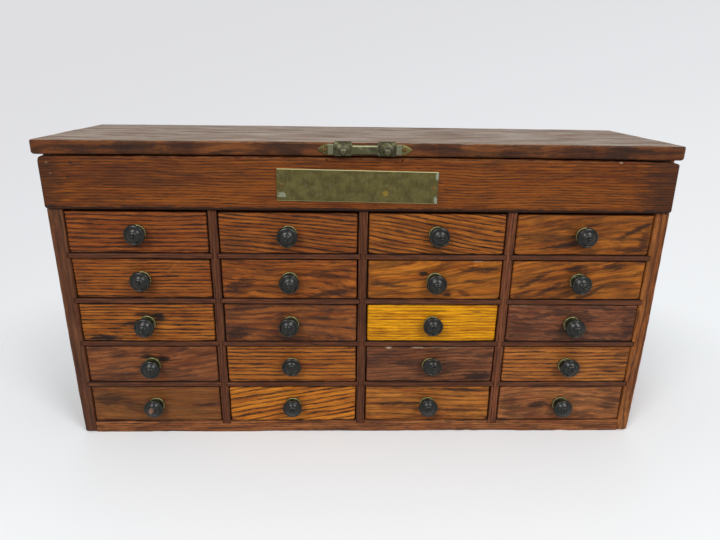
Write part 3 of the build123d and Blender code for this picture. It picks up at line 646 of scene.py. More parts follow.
def handle_brass(middle):
    """The handle plate's bronze: dark green body, paler flanges that partly carry painted light, browned leaf ends,
    and a painted highlight along the ridge between the lugs.
    """
    shader = Shader("brass_handle")
    body = tuple(bpy.context.scene.cabinet_metal.bronze)
    colour, roughness, height, dull = tarnish(shader, body, 0.8, 0.35, "X")
    x, y, z = shader.place(middle)
    ragged = (shader.cloud(x / 2.0, y, z / 2.0, 4.0, 0.7) - 0.5) * 1.6
    away = abs(x) + ragged
    # The flanges are paler brass, partly as painted light on the flat bands.
    flange = away.step(BODY_END, BODY_END + 0.5) * away.step(FLANGE_END + 0.4, FLANGE_END - 0.2)
    colour = shader.mix(flange * 0.6, colour, tone(128, 128, 102))
    for hand, browned in ((-1.0, tone(84, 72, 40)), (1.0, tone(112, 104, 60))):
        leaf = (x * hand + ragged).step(FLANGE_END, FLANGE_END + 1.2)
        colour = shader.mix(leaf * 0.75, colour, browned)
    rim = ((abs(x) - ROSETTE) * (abs(x) - ROSETTE) + z * z).root() + ragged * 0.5
    groove = abs(rim - ROSETTE_RINGS[0]).step(0.7, 0.1)
    colour = shader.mix(groove * 0.7, colour, tone(44, 42, 30))
    # A painted highlight along the crowned ridge between the lugs, standing for the lamp above reflected there.
    painted_highlight = abs(z - BRIGHT_LINE).step(0.6, 0.1) * abs(x).step(LUG[0], LUG[0] - 1.2)
    colour = shader.mix(painted_highlight * 0.7, colour, tone(184, 182, 140))
    return shader.finish(colour, roughness, height, 0.05 * MM, Metallic=0.9 - 0.6 * dull)


def ebony(name, chipped=False):
    """Blackened turned wood, browner on the rim, dusty in its grooves, with a soft old polish."""
    metal = bpy.context.scene.cabinet_metal
    shader = Shader(name)
    x, y, z = shader.place()
    radius = (x * x + z * z).root()
    grain = shader.cloud(x / 0.5, y / 4.0, z / 0.5, 3.0, 0.6)
    dust = shader.cloud(x / 2.6, y / 2.6, z / 2.6, 4.0, 0.6)
    turning = shader.cloud(radius * 1.6, y * 1.6, 0.0, 2.0)
    colour = shader.mix(dust.step(0.45, 0.75) * 0.25, tuple(metal.ebony), tone(46, 48, 38))
    for groove in KNOB_GROOVES:
        colour = shader.mix(abs(radius - groove).step(0.4, 0.1) * dust, colour, tone(50, 52, 42))
    worn = (radius + (dust - 0.5) * 2.4).step(6.9, 7.4) * 0.4
    colour = shader.mix(worn, colour, tone(56, 44, 34))
    if chipped:
        beside, above = x + 1.4, z + 0.6
        away = (beside * beside + above * above).root() + (grain - 0.5) * 2.5
        colour = shader.mix(away.step(2.4, 1.2), colour, tone(120, 84, 62))
    roughness = 0.16 + 0.2 * dust
    height = 0.6 * turning + 0.2 * grain
    return shader.finish(colour, roughness, height, 0.014 * MM, IOR=1.38)


def copper():
    """Copper-coloured nail heads, browned in the hollows."""
    shader = Shader("copper_nail")
    x, y, z = shader.place()
    stain = shader.cloud(x / 0.8, y / 0.8, z / 0.8, 3.0, 0.6)
    colour = shader.mix(stain.step(0.3, 0.6), tone(134, 104, 56), tone(66, 48, 28))
    return shader.finish(colour, 0.36 + 0.3 * stain, stain, 0.05 * MM, Metallic=0.9)


# ------------------------------------------------------------------ mesh work

WELD = 1e6  # corners within a micrometre of each other are one corner
FLAT = math.radians(0.5)  # faces that meet at less than this become one face
SHARP = math.radians(60)  # edges that turn more than this are rounded
CUT_REACH = 1e-7  # metres from a corner at which a cut still goes through it
CLOSE_CUTS = (1, 2, 3)  # cells in from an edge at which a board is cut
WIDE_CELL = 6  # how many times wider the cells are away from the edges
# How many times in a metre the wear varies: plane marks, rubbed stretches, nicks and torn grain.
PLANED, RUBBED, NICKED, TORN = 14, 30, 160, 500


def solids_of(node):
    """The node's closed solids, one bmesh each, in the order in which they were drawn."""
    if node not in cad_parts:
        raise RuntimeError(f"the packed model has no {node}")
    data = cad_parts[node].data
    solids, faces, ragged = [], [], set()
    for polygon in data.polygons:
        corners = [data.vertices[i].co for i in polygon.vertices]
        keys = [tuple(round(c * WELD) for c in corner) for corner in corners]
        if len(set(keys)) < len(keys):
            continue
        faces.append(list(zip(keys, corners)))
        ragged ^= {frozenset(pair) for pair in zip(keys, keys[1:] + keys[:1])}
        if not ragged:
            solids.append(joined(faces))
            faces = []
    if faces:
        raise RuntimeError(f"{node} is not made of closed solids")
    return solids


def joined(faces):
    """A bmesh of faces given as (key, corner) pairs, with one vertex for each key."""
    mesh, verts = bmesh.new(), {}
    for face in faces:
        for key, corner in face:
            if key not in verts:
                verts[key] = mesh.verts.new(corner)
        mesh.faces.new([verts[key] for key, _ in face])
    bmesh.ops.recalc_face_normals(mesh, faces=mesh.faces)
    bmesh.ops.dissolve_limit(mesh, angle_limit=FLAT, verts=mesh.verts, edges=mesh.edges)
    return mesh


def box_of(mesh):
    """Lowest and highest corners of a bmesh."""
    low = Vector([min(vert.co[axis] for vert in mesh.verts) for axis in range(3)])
    high = Vector([max(vert.co[axis] for vert in mesh.verts) for axis in range(3)])
    return low, high


def round_edges(mesh, width):
    """Rounds the edges that were left sharp."""
    edges = [e for e in mesh.edges if e.is_manifold and e.calc_face_angle_signed(0.0) > SHARP]
    bmesh.ops.bevel(
        mesh, geom=edges, offset=width, segments=2, profile=0.5, affect="EDGES", clamp_overlap=True
    )


def cut_fine(mesh, cells):
    """Cuts the mesh by planes, so that it has corners enough to wear unevenly.

    Along the board they are even. Across it and through it they are close near the edges only.
    """
    low, high = box_of(mesh)
    size = high - low
    longest = max(range(3), key=lambda axis: size[axis])
    for axis, cell in enumerate(cells):
        if axis == longest:
            count = round(size[axis] / cell)
            places = [size[axis] * n / count for n in range(1, count)]
        else:
            near = [cell * n for n in CLOSE_CUTS if cell * (n + 0.5) < size[axis] / 2]
            inner = size[axis] - 2 * (near[-1] if near else 0.0)
            count = max(1, round(inner / (WIDE_CELL * cell)))
            places = near + [size[axis] - place for place in near]
            places += [size[axis] / 2 + inner * (n / count - 0.5) for n in range(1, count)]
        normal = Vector([float(axis == n) for n in range(3)])
        for place in places:
            at = low.copy()
            at[axis] += place
            everything = mesh.verts[:] + mesh.edges[:] + mesh.faces[:]
            bmesh.ops.bisect_plane(mesh, geom=everything, dist=CUT_REACH, plane_co=at, plane_no=normal)


Chip = namedtuple("Chip", "x y z radius depth")
DROOP_LENGTH = 16 * MM  # how far from an end its top droops


def weather(mesh, seed=0.0, rub=1.0, chips=(), bow=(0.0, 0.0), droop=(0.0, 0.0)):
    """Rubs a board's edges away unevenly, knocks chips out of them and lets its faces wander.

    bow lifts the middle of the board's foot and of its top by these lengths. droop is how far the
    left and the right end of its top have worn down.
    """
    wear = bpy.context.scene.cabinet_wear
    low, high = box_of(mesh)
    middle, half = (low + high) / 2, (high - low) / 2
    shift = Vector((seed * 3.7, seed * 1.3, seed * 2.1))
    mesh.normal_update()
    for vert in mesh.verts:
        at = vert.co.copy()
        vert.co += vert.normal * (noise.noise(at * PLANED + shift) * wear.plane_marks)
        near = sorted((half[axis] - abs(at[axis] - middle[axis]), axis) for axis in range(3))
        (first, axis_a), (second, axis_b) = near[:2]
        patchy = 0.45 + 0.9 * noise.noise(at * RUBBED + shift) + 0.6 * noise.noise(at * NICKED + shift)
        depth = wear.rub * rub * max(0.0, patchy) * math.exp(-(first + second) / wear.reach)
        for chip in chips:
            away = (at - Vector(chip[:3])).length / chip.radius
            if away < 1:
                depth += chip.depth * (1 - away**2) * (1 + 0.5 * noise.noise(at * TORN + shift))
        for axis in (axis_a, axis_b):
            vert.co[axis] -= math.copysign(depth, at[axis] - middle[axis])
        height = (at.z - low.z) / (high.z - low.z)
        lift = bow[0] + (bow[1] - bow[0]) * height
        vert.co.z += lift * (1 - ((at.x - middle.x) / half.x) ** 2)
        for end, drop in ((low.x, droop[0]), (high.x, droop[1])):
            vert.co.z -= drop * height * max(0.0, 1 - abs(at.x - end) / DROOP_LENGTH) ** 2


def piece(name, meshes, material, body, nodes, place=None, sharp=38.0):
    """One shown piece from bmeshes in the part's frame, riding on a body and standing for CAD nodes."""
    data = bpy.data.meshes.new(name)
    whole = bmesh.new()
    for mesh in meshes:
        mesh.to_mesh(data)
        whole.from_mesh(data)
        mesh.free()
    whole.to_mesh(data)
    whole.free()
    data.materials.append(material)
    data.shade_smooth()
    data.set_sharp_from_angle(angle=math.radians(sharp))
    made = bpy.data.objects.new(name, data)
    bpy.context.scene.collection.objects.link(made)
    if place:
        made.matrix_world = place
    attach(made, body)
    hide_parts(*nodes)


def worn_board(node, cells, rub=1.0, chips=(), bow=(0.0, 0.0), droop=(0.0, 0.0), seed=0.0):
    """A CAD node's boards as bmeshes, rounded, cut fine and weathered."""
    meshes = solids_of(node)
    for number, mesh in enumerate(meshes):
        round_edges(mesh, bpy.context.scene.cabinet_wear.arris)
        cut_fine(mesh, [cell * MM for cell in cells])
        weather(mesh, seed + number, rub, chips, bow, droop)
    return meshes


def arc(start, end, bulge, steps):
    """Points after start on an arc to end. bulge is its height, positive to the left of the way."""
    (ax, ay), (bx, by) = start, end
    chord = math.hypot(bx - ax, by - ay)
    radius = (chord * chord / 4 + bulge * bulge) / (2 * abs(bulge))
    half = math.asin(min(1.0, chord / 2 / radius))
    if abs(bulge) > chord / 2:
        half = math.pi - half
    along = ((bx - ax) / chord, (by - ay) / chord)
    left = (-along[1], along[0])
    sign = math.copysign(1.0, bulge)
    points = []
    for n in range(1, steps + 1):
        angle = half * (2 * n / steps - 1)
        shift = chord / 2 + radius * math.sin(angle)
        lift = sign * (radius * math.cos(angle) - (radius - abs(bulge)))
        points.append((ax + along[0] * shift + left[0] * lift, ay + along[1] * shift + left[1] * lift))
    return points


def turned(profile, turns, closed=False):
    """A bmesh turned about the Y axis from (radius, y) points in millimetres.

    A closed profile makes a ring; any other is capped at its ends.
    """
    mesh = bmesh.new()
    rings = []
    for radius, y in profile:
        if radius < 1e-6:
            rings.append([mesh.verts.new((0, y * MM, 0))])
            continue
        angles = [math.tau * n / turns for n in range(turns)]
        rings.append(
            [mesh.verts.new((radius * MM * math.cos(a), y * MM, radius * MM * math.sin(a))) for a in angles]
        )
    for one, two in zip(rings, rings[1:] + rings[:1] if closed else rings[1:]):
        for n in range(turns):
            corners = [one[n % len(one)], one[(n + 1) % len(one)], two[(n + 1) % len(two)], two[n % len(two)]]
            mesh.faces.new(list(dict.fromkeys(corners)))
    for ring in () if closed else (rings[0], rings[-1]):
        if len(ring) > 1:
            mesh.faces.new(ring)
    bmesh.ops.recalc_face_normals(mesh, faces=mesh.faces)
    return mesh


# The handle plate, in millimetres from its middle: a waisted body, a lug behind each rosette, then
# a flat flange and a leaf at each end.
BODY_END, FLANGE_END, PLATE_END = 20.4, 24.2, 31.3
WAIST_HALF, WAIST_GROWTH, FLANGE_HALF, LEAF_TIP = 3.1, 0.4, 3.4, 0.1
LUG, LUG_TOP, LUG_FOOT, LUG_RISE = (8.7, 20.0), 5.6, 1.0, 2.1
FLAT_DEPTH, LEAF_CROWN, BODY_DEPTH, BODY_CROWN, LUG_DROP = 0.8, 0.35, 0.75, 0.5, 0.6
ROSETTE, ROSETTE_RINGS, RING_DEPTH, RING_SLOPE = 14.35, (4.9, 3.8, 2.7), 0.3, 0.18
BEVEL, BEVEL_WIDTH = 0.25, 0.45
STEP_WIDTH = 0.3  # half the width of a smooth step from one part of the plate to the next
BRIGHT_LINE = 2.3  # height of the painted highlight along the ridge between the lugs


def ramp(value, start, end):
    """0 at start, 1 at end and smooth between them."""
    share = min(1.0, max(0.0, (value - start) / (end - start)))
    return share * share * (3 - 2 * share)


def oak_on(node, axes, figure, **others):
    """Oak laid out on a CAD node's box."""
    low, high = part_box(node)
    return oak(f"oak_{node}", (low + high) / 2, high - low, axes, figure, **others)


def refinish(material, *nodes):
    """Gives the CAD nodes that stay as they are their finish."""
    for node in nodes:
        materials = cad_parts[node].data.materials
        materials.clear()
        materials.append(material)


BUCKLES = 26  # times in a metre that the nameplate's sheet buckles

# ------------------------------------------------------------------ operators


class CABINET_OT_case(bpy.types.Operator):
    """Weather the side boards, bottom, partitions, shelves and back of the case"""

    bl_idname = "cabinet.case"
    bl_label = "Case boards"

    spread: FloatVectorProperty(
        name="Spread",
        description="How far the left and the right side board have spread at the top",
        subtype="TRANSLATION",
        unit="LENGTH",
        size=2,
        default=(1.0 * MM, 0.4 * MM),
    )
    pinch: FloatVectorProperty(
        name="Pinch",
        description="How far the foot of the left and the right side board has worn in",
        subtype="TRANSLATION",
        unit="LENGTH",
        size=2,
        default=(1.0 * MM, 1.4 * MM),
    )
    foot: length_setting("Foot", "Height of the worn foot", 85.0, 1.0)

    def lean(self, mesh, hand, spread, pinch):
        """Leans a side board's outer face out at the top and in at the foot, not its inner face."""
        low, high = box_of(mesh)
        inner, outer = (high.x, low.x) if hand < 0 else (low.x, high.x)
        for vert in mesh.verts:
            height = vert.co.z - low.z
            out = spread * height / (high.z - low.z) - pinch * max(0.0, 1 - height / self.foot) ** 1.5
            vert.co.x += hand * out * (vert.co.x - inner) / (outer - inner)

    def execute(self, context):
        sides = (("side_left", -1, LEFT_STILE_OAK), ("side_right", 1, RIGHT_STILE_OAK))
        for (name, hand, figure), spread, pinch in zip(sides, self.spread, self.pinch):
            finish = oak_on(name, "ZYX", figure, grime=0.4, rubbed=0.25)
            meshes = worn_board(name, (2.4, 2.4, 2.4), 0.6, seed=2.0 + hand)
            self.lean(meshes[0], hand, spread, pinch)
            piece(f"case_{name}", meshes, finish, "case", [name])
        for number, (name, pale) in enumerate(PARTITIONS.items()):
            figure = PARTITION_OAK._replace(
                light=tinted(PARTITION_OAK.light, pale), seed=PARTITION_OAK.seed + 2 * number
            )
            finish = oak_on(name, "ZXY", figure, grime=0.35, rubbed=0.2)
            meshes = worn_board(name, (1.6, 4.0, 1.6), 0.8, seed=number + 4.0)
            piece(f"case_{name}", meshes, finish, "case", [name])
        for name, axes, figure, cells, grime, rub, slot in (
            ("bottom_board", "XZY", RAIL_OAK, (2.0, 4.0, 2.0), 0.3, 1.1, "case_oak"),
            ("back_panel", "XZY", BACK_OAK, (4.0, 4.0, 3.0), 0.5, 1.0, "case_oak"),
            ("well_floor", "XYZ", INNER_WOOD, (8.0, 8.0, 4.0), 0.6, 0.5, "inner_oak"),
        ):
            finish = oak_on(name, axes, figure, grime=grime)
            meshes = worn_board(name, cells, rub, seed=figure.seed)
            piece(f"case_{name}", meshes, finish, "case", [name])
        self.shelves()
        return {"FINISHED"}

    def shelves(self):
        """The sixteen shelves: one finish that repeats from row to row."""
        meshes = worn_board("drawer_shelves", (2.0, 6.0, 1.3), 0.6, seed=9.0)
        (low, high), (shelf_low, shelf_high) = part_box("drawer_shelves"), box_of(meshes[0])
        size = (high.x - low.x, high.y - low.y, shelf_high.z - shelf_low.z)
        rows = (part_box("drawer_r1c1")[0].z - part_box("drawer_r2c1")[0].z) / MM
        # The heavy darkening along each shelf's edges is painted shade of the gaps above and below it.
        finish = oak("oak_shelves", (low + high) / 2, size, "XZY", SHELF_OAK, grime=0.75, rubbed=0.0, rows=rows)
        piece("case_drawer_shelves", meshes, finish, "case", ["drawer_shelves"])


class CABINET_OT_apron(bpy.types.Operator):
    """Weather the apron board across the front of the well"""

    bl_idname = "cabinet.apron"
    bl_label = "Apron"

    crown: length_setting("Crown", "How far the middle of the top has lifted", 1.2)

    def execute(self, context):
        low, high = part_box("apron")
        finish = oak_on("apron", "XZY", APRON_OAK, marks=APRON_MARKS, grime=0.25, rubbed=0.4)
        chips = [
            Chip(low.x, low.y, high.z, 3.0 * MM, 0.5 * MM),
            Chip(low.x + 60 * MM, low.y, high.z, 5.0 * MM, 0.3 * MM),
        ]
        droop = (0.6 * MM, 1.5 * MM)
        meshes = worn_board("apron", (1.6, 2.0, 1.4), 0.8, chips, (0.0, self.crown), droop, 12.0)
        piece("case_apron", meshes, finish, "case", ["apron"])
        return {"FINISHED"}


class CABINET_OT_lid(bpy.types.Operator):
    """Weather the lid, with its chipped front edge and its slight bow"""

    bl_idname = "cabinet.lid"
    bl_label = "Lid"

    crown: length_setting("Crown", "How far the middle of the top has lifted", 0.38)
    hollow: length_setting("Hollow", "How far the middle of the underside has lifted", 0.9)

    def execute(self, context):
        low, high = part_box("lid")
        finish = oak_on("lid", "XYZ", LID_OAK, marks=LID_MARKS, grime=0.15, rubbed=0.8, dust=0.6)
        spots = ((33, 2.0, 0.5), (68, 3.0, 0.6), (90, 2.0, 0.5), (97, 1.6, 0.5), (150, 2.0, 0.3))
        chips = [Chip(x * MM, low.y, high.z, 2 * radius * MM, depth * MM) for x, radius, depth in spots]
        meshes = worn_board("lid", (2.2, 2.6, 1.4), 0.9, chips, (self.hollow, self.crown), seed=13.0)
        piece("lid_board", meshes, finish, "lid", ["lid"])
        return {"FINISHED"}


class CABINET_OT_drawers(bpy.types.Operator):
    """Weather the twenty drawers, each front with its own figure"""

    bl_idname = "cabinet.drawers"
    bl_label = "Drawers"

    def execute(self, context):
        wear = context.scene.cabinet_wear
        figures = [INNER_WOOD._replace(seed=INNER_WOOD.seed + n) for n in range(COLUMNS)]
        inside = [
            oak(f"wood_drawer_box_{n}", (0, 0, 0), BOX_PIECE, "YZX", figure, grime=0)
            for n, figure in enumerate(figures)
        ]
        for number, spot in enumerate(DRAWERS):
            node = f"drawer_{spot}"
            front, *walls = solids_of(node)
            low, high = box_of(front)
            middle = (low + high) / 2
            figure, marks = FRONTS[spot]
            finish = oak(
                f"oak_front_{spot}", middle, high - low, "XZY", figure, [*marks, KNOB_GRIME_AND_SHADOW], 0.35, 0.25
            )
            chips = [Chip(x, low.y, low.z, 2.0 * MM, 0.4 * MM) for x in (low.x, high.x)]
            chips += [
                Chip(middle.x + x * MM, low.y, high.z, half_width * MM, 0.5 * strength * MM)
                for kind, x, z, half_width, half_height, rise, strength in marks
                if kind == CHIP
            ]
            round_edges(front, wear.arris)
            cut_fine(front, (1.5 * MM, 2.5 * MM, 1.3 * MM))
            weather(front, number + 20.0, 1.0, chips)
            piece(f"drawer_front_{spot}", [front], finish, node, [node])
            for wall in walls:
                round_edges(wall, wear.arris)
            finish = inside[(number + number // COLUMNS) % COLUMNS]
            piece(f"drawer_box_{spot}", walls, finish, node, [node])
        return {"FINISHED"}


class CABINET_OT_knobs(bpy.types.Operator):
    """Turn the twenty knobs and their collars, and let each lean as it has worked loose"""

    bl_idname = "cabinet.knobs"
    bl_label = "Knobs"

    projection: length_setting("Projection", "From the drawer front to the tip of the nib", 12.4)
    collar_radius: length_setting("Collar radius", "Radius of the brass collar", 6.1)
    collar_depth: length_setting("Collar depth", "Thickness of the brass collar", 1.6)
    roundness: FloatProperty(name="Out of round", description="How uneven a head is", default=0.002, min=0)
    lumps: FloatProperty(name="Lumps", description="Uneven places in a metre", default=200, min=0)

    def head(self, turns):
        """The knob, from its tenon to its nib; y runs out of the drawer front towards -Y."""
        tip, seat = -self.projection / MM, -self.collar_depth / MM
        tenon, neck, groove, ring, nib = 2.5, 4.2, KNOB_GROOVES[0], KNOB_GROOVES[1], 1.3
        profile = [(tenon, 6.0), (tenon, seat), (neck, seat)]
        profile += arc(profile[-1], (6.6, -5.6), -0.9, 8)
        profile += arc(profile[-1], (6.7, -7.8), 0.62, 8)
        profile += [(groove + 0.25, -8.0), (groove, -7.85), (groove - 0.25, -8.1)]
        profile += arc(profile[-1], (ring + 0.2, -9.9), 0.22, 5)
        profile += [(ring, -9.85), (ring - 0.2, -10.1)]
        profile += arc(profile[-1], (nib + 0.05, -10.75), 0.1, 3)
        profile += arc(profile[-1], (nib, tip + 1.3), -0.08, 2)
        profile += arc(profile[-1], (0.0, tip), 0.38, 5)
        return turned(profile, turns)

    def collar(self, turns):
        """The pressed brass washer behind the knob."""
        radius, depth = self.collar_radius / MM, self.collar_depth / MM
        profile = [(2.6, 0.0), (radius, 0.0), (radius, 0.6 - depth)]
        profile += arc(profile[-1], (radius - 0.6, -depth), 0.18, 4)
        profile += [(4.6, 0.15 - depth), (2.6, 0.05 - depth)]
        return turned(profile, turns, closed=True)

    def execute(self, context):
        metal = context.scene.cabinet_metal
        black, chipped = ebony("ebonised_wood"), ebony("ebonised_wood_chipped", chipped=True)
        pressed = brass("brass_collar", tinted(metal.bronze, 2.6, 2.5, 2.4), 0.35, 0.8)
        for number, spot in enumerate(DRAWERS):
            node = f"knob_{spot}"
            low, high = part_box(node)
            face = Vector(((low.x + high.x) / 2, low.y + self.projection, (low.z + high.z) / 2))
            turn = Matrix.Rotation(number * KNOB_TURN, 4, "Y")
            aside, up = LEANS.get(spot, (0.0, 0.0))
            lean = turn.inverted() @ Vector((aside * MM, 0, up * MM))
            head, collar = self.head(metal.turns), self.collar(metal.turns)
            for vert in head.verts:
                uneven = noise.noise(vert.co * self.lumps + Vector((number * 5.1, 0, 0)))
                vert.co *= 1 + self.roundness * uneven
                out = max(0.0, -vert.co.y - self.collar_depth)
                vert.co += lean * (out / (RIM_REACH * MM - self.collar_depth))
            body, place = f"drawer_{spot}", Matrix.Translation(face) @ turn
            black_here = chipped if spot == CHIPPED_KNOB else black
            piece(f"knob_head_{spot}", [head], black_here, body, [node], place)
            piece(f"knob_collar_{spot}", [collar], pressed, body, [node], place)
        return {"FINISHED"}


class CABINET_OT_nameplate(bpy.types.Operator):
    """Finish the bare brass nameplate and its pins"""

    bl_idname = "cabinet.nameplate"
    bl_label = "Nameplate"

    tilt: FloatProperty(
        name="Tilt", description="How far the right end hangs down", unit="ROTATION", default=math.radians(0.8)
    )
    buckle: length_setting("Buckle", "How far the thin sheet stands off the apron", 0.16)

    def execute(self, context):
        low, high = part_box("nameplate")
        size = (high.x - low.x - 0.32 * MM, high.z - low.z - 1.15 * MM)
        metal = plate_brass((low + high) / 2, size, math.tan(self.tilt))
        (mesh,) = solids_of("nameplate")
        cut_fine(mesh, (2.2 * MM, 2.0 * MM, 2.2 * MM))
        for vert in mesh.verts:
            vert.co.y -= self.buckle * (0.5 + noise.noise(vert.co * BUCKLES))
        piece("nameplate_sheet", [mesh], metal, "case", ["nameplate"], sharp=50.0)
        refinish(brass("brass_pin", tone(120, 92, 52), 0.7, 0.1), "nameplate_pins")
        return {"FINISHED"}


class CABINET_OT_handle(bpy.types.Operator):
    """Shape and finish the brass handle plate, its ball posts and its nails"""

    bl_idname = "cabinet.handle"
    bl_label = "Handle plate"

    cell: length_setting("Cell", "Distance between the plate's mesh points", 0.35, 0.05)

    def edges(self, x):
        """The plate's lower and upper edge at x, in millimetres from its middle."""
        away = abs(x)
        if away > FLANGE_END:
            share = (away - FLANGE_END) / (PLATE_END - FLANGE_END)
            half = FLANGE_HALF * max(0.0, 1 - share**1.7) ** 0.8 + LEAF_TIP
        else:
            half = WAIST_HALF + WAIST_GROWTH * (away / FLANGE_END) ** 2
        inner, outer = LUG
        lug = ramp(away, inner - STEP_WIDTH, inner + STEP_WIDTH) * ramp(away, outer + STEP_WIDTH, outer - STEP_WIDTH)
        return -half - LUG_FOOT * lug, half + LUG_RISE * lug

    def depth(self, x, z):
        """How far the plate stands out of the lid's edge at a point."""
        away = abs(x)
        foot, top = self.edges(x)
        middle, half = (foot + top) / 2, (top - foot) / 2
        round_top = 1 - ((z - middle) / half) ** 2
        flat = FLAT_DEPTH + LEAF_CROWN * round_top * ramp(away, FLANGE_END, FLANGE_END + 1.0)
        raised = ramp(away, BODY_END + 0.2, BODY_END - 0.2)
        body = BODY_DEPTH + BODY_CROWN * max(0.0, round_top) ** 0.7
        lug = ramp(away, LUG[0] - STEP_WIDTH, LUG[0] + STEP_WIDTH)
        body -= LUG_DROP * lug * ramp(z, 3.2, top)
        out = flat + raised * body
        ring = math.hypot(away - ROSETTE, z)
        for radius in ROSETTE_RINGS:
            out += RING_DEPTH * ramp(ring, radius + RING_SLOPE, radius - RING_SLOPE)
        return out - BEVEL * (1 - ramp(min(z - foot, top - z), 0.0, BEVEL_WIDTH))

    def plate(self, middle, face):
        """The plate as one closed bmesh, in columns from end to end."""
        mesh = bmesh.new()
        columns = round(2 * PLATE_END * MM / self.cell)
        rows = round(2 * LUG_TOP * MM / self.cell)
        grid = []
        for n in range(columns + 1):
            x = PLATE_END * (2 * n / columns - 1)
            foot, top = self.edges(x)
            zs = [foot + (top - foot) * row / rows for row in range(rows + 1)]
            out = [(x, self.depth(x, z), z) for z in zs]
            loop = [(x, 0.0, foot), *out, (x, 0.0, top)]
            grid.append([mesh.verts.new((middle.x + a * MM, face - b * MM, middle.z + c * MM)) for a, b, c in loop])
        for one, two in zip(grid, grid[1:]):
            for row in range(len(one)):
                after = (row + 1) % len(one)
                mesh.faces.new((one[row], one[after], two[after], two[row]))
        mesh.faces.new(grid[0])
        mesh.faces.new(grid[-1])
        bmesh.ops.recalc_face_normals(mesh, faces=mesh.faces)
        return mesh

    def execute(self, context):
        low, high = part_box("handle_plate")
        mesh = self.plate((low + high) / 2, high.y)
        metal = handle_brass((low + high) / 2)
        piece("handle_plate_cast", [mesh], metal, "lid", ["handle_plate"])
        refinish(brass("brass_posts", tone(98, 96, 72), 0.85, 0.1), "handle_posts")
        refinish(copper(), "handle_nails")
        return {"FINISHED"}


class CABINET_OT_hinges(bpy.types.Operator):
    """Finish the two brass hinges and their screws"""

    bl_idname = "cabinet.hinges"
    bl_label = "Hinges"

    def execute(self, context):
        metal = brass("brass_hinge", context.scene.cabinet_metal.brass, 0.6, 0.2)
        refinish(metal, "hinge_case_halves", "hinge_lid_halves", "hinge_screws_case", "hinge_screws_lid")
        return {"FINISHED"}


FLOOR_HALF = 1.2
FLOOR_FADE = (225, 470)  # millimetres from the middle at which the floor starts and ends its fade
# How fast the backdrop turns to the floor's colour towards the right and downwards, over what range
# of the two together, and how far it gets.
PALER_RIGHT, PALER_LOW, PALE_RANGE, PALEST = 0.6, 2.2, (-0.45, 1.35), 0.85
# Each lamp's name, place, aim, width and height in metres, and which of the stage's powers it has.
LAMPS = (
    ("softbox_left", (-0.4, -0.75, 0.75), (0, 0, 0.1), 0.35, 0.5, "lamp"),
    ("softbox_right", (0.48, -0.72, 0.75), (0, 0, 0.1), 0.35, 0.5, "lamp"),
    ("strip_behind", (0, 1.2, 0.75), (0, 0, 0.22), 2.0, 0.4, "strip"),
)


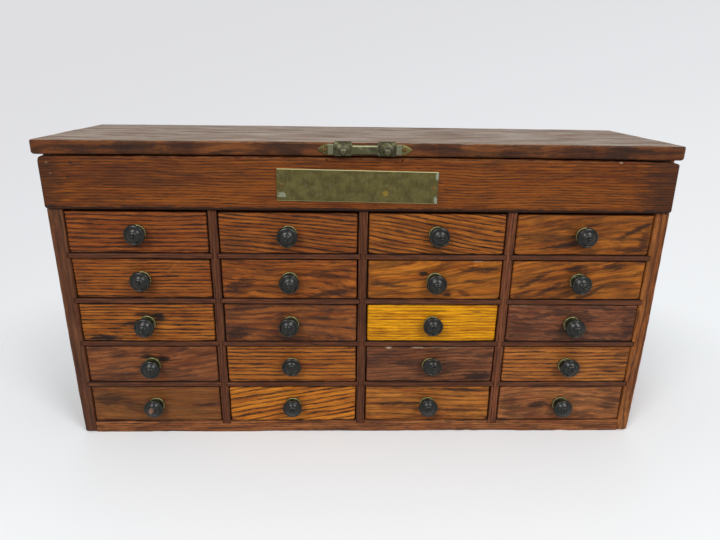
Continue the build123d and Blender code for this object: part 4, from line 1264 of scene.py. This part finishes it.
class CABINET_OT_stage(bpy.types.Operator):
    """Set the floor, the soft light and the camera"""

    bl_idname = "cabinet.stage"
    bl_label = "Stage"

    def floor(self, studio):
        """A pale floor that fades into the backdrop."""
        shader = Shader("floor")
        x, y, z = shader.place()
        away = (x * x + y * y).root()
        surface = shader.node(
            "ShaderNodeBsdfPrincipled", None, {"Base Color": (*studio.floor, 1.0), "Roughness": 0.9}
        )
        beyond = shader.node("ShaderNodeBsdfTransparent")
        both = shader.node("ShaderNodeMixShader", None, {0: away.step(*FLOOR_FADE), 1: surface, 2: beyond})
        shader.node("ShaderNodeOutputMaterial", None, {"Surface": both})
        data = bpy.data.meshes.new("floor")
        half = FLOOR_HALF
        corners = [(-half, -half, 0), (half, -half, 0), (half, half, 0), (-half, half, 0)]
        data.from_pydata(corners, [], [(0, 1, 2, 3)])
        data.materials.append(shader.made)
        made = bpy.data.objects.new("floor", data)
        bpy.context.scene.collection.objects.link(made)

    def world(self, studio):
        """Even white light. The camera and shiny surfaces see the backdrop, paler low down and right."""
        shader = Shader("studio", "worlds")
        bpy.context.scene.world = shader.made
        way = shader.node("ShaderNodeTexCoord", out="Generated", vector=True)
        x, z = (shader.node("ShaderNodeSeparateXYZ", None, {0: way}, out=n) for n in (0, 2))
        pale = (x * PALER_RIGHT - z * PALER_LOW).step(*PALE_RANGE) * PALEST
        colour = shader.mix(pale, tuple(studio.backdrop), tuple(studio.floor))
        seen = shader.node("ShaderNodeBackground", None, {"Color": colour})
        light = shader.node("ShaderNodeBackground", None, {"Color": (1, 1, 1, 1), "Strength": studio.sky})
        camera, glossy, through = (
            shader.node("ShaderNodeLightPath", out=f"Is {ray} Ray") for ray in ("Camera", "Glossy", "Transmission")
        )
        shows = camera.at_least(glossy).at_least(through)
        both = shader.node("ShaderNodeMixShader", None, {0: shows, 1: light, 2: seen})
        shader.node("ShaderNodeOutputWorld", None, {"Surface": both})

    def softbox(self, name, at, aim, width, height, power):
        """A rectangular lamp at a place, aimed at a point and hidden from the camera."""
        data = bpy.data.lights.new(name, "AREA")
        data.shape, data.size, data.size_y, data.energy = "RECTANGLE", width, height, power
        made = bpy.data.objects.new(name, data)
        bpy.context.scene.collection.objects.link(made)
        made.location = at
        made.rotation_euler = (Vector(aim) - Vector(at)).to_track_quat("-Z", "Y").to_euler()
        made.visible_camera = False

    def execute(self, context):
        studio = context.scene.cabinet_studio
        context.scene.view_settings.view_transform = "Standard"
        self.floor(studio)
        self.world(studio)
        for name, place, aim, width, height, power in LAMPS:
            self.softbox(name, place, aim, width, height, getattr(studio, power))
        data = bpy.data.cameras.new("camera")
        data.sensor_width, data.lens = 36.0, studio.lens
        data.clip_start, data.clip_end = 0.01, 20.0
        camera = bpy.data.objects.new("camera", data)
        context.scene.collection.objects.link(camera)
        camera.matrix_world = (
            Matrix.Translation(studio.eye)
            @ Matrix.Rotation(studio.turn, 4, "Z")
            @ Matrix.Rotation(studio.tilt, 4, "X")
            @ Matrix.Rotation(studio.roll, 4, "Z")
        )
        context.scene.camera = camera
        return {"FINISHED"}


class CABINET_PT_sidebar(bpy.types.Panel):
    """The cabinet's finishes and the steps that build it"""

    bl_idname = "CABINET_PT_sidebar"
    bl_label = "Parts cabinet"
    bl_space_type = "VIEW_3D"
    bl_region_type = "UI"
    bl_category = "Cabinet"

    def draw(self, context):
        for title, group in GROUPS.items():
            box = self.layout.box()
            box.label(text=title)
            settings = getattr(context.scene, f"cabinet_{title.lower()}")
            for name in group.__annotations__:
                box.prop(settings, name)
        for step in STEPS:
            self.layout.operator(step.bl_idname)


GROUPS = {"Wood": CabinetWood, "Wear": CabinetWear, "Metal": CabinetMetal, "Studio": CabinetStudio}
STEPS = (
    CABINET_OT_stage,
    CABINET_OT_case,
    CABINET_OT_apron,
    CABINET_OT_lid,
    CABINET_OT_drawers,
    CABINET_OT_knobs,
    CABINET_OT_nameplate,
    CABINET_OT_handle,
    CABINET_OT_hinges,
)


def register():
    """Adds the settings, the steps and the panel."""
    for group in (*GROUPS.values(), *STEPS, CABINET_PT_sidebar):
        bpy.utils.register_class(group)
    for title, group in GROUPS.items():
        setattr(bpy.types.Scene, f"cabinet_{title.lower()}", PointerProperty(type=group))


def unregister():
    """Takes them away again."""
    for title in GROUPS:
        delattr(bpy.types.Scene, f"cabinet_{title.lower()}")
    for group in (CABINET_PT_sidebar, *reversed(STEPS), *reversed(GROUPS.values())):
        bpy.utils.unregister_class(group)


def main():
    """Adds the settings and steps, then runs every step in order."""
    register()
    for step in STEPS:
        group, name = step.bl_idname.split(".")
        getattr(getattr(bpy.ops, group), name)()


if __name__ == "__main__":
    main()
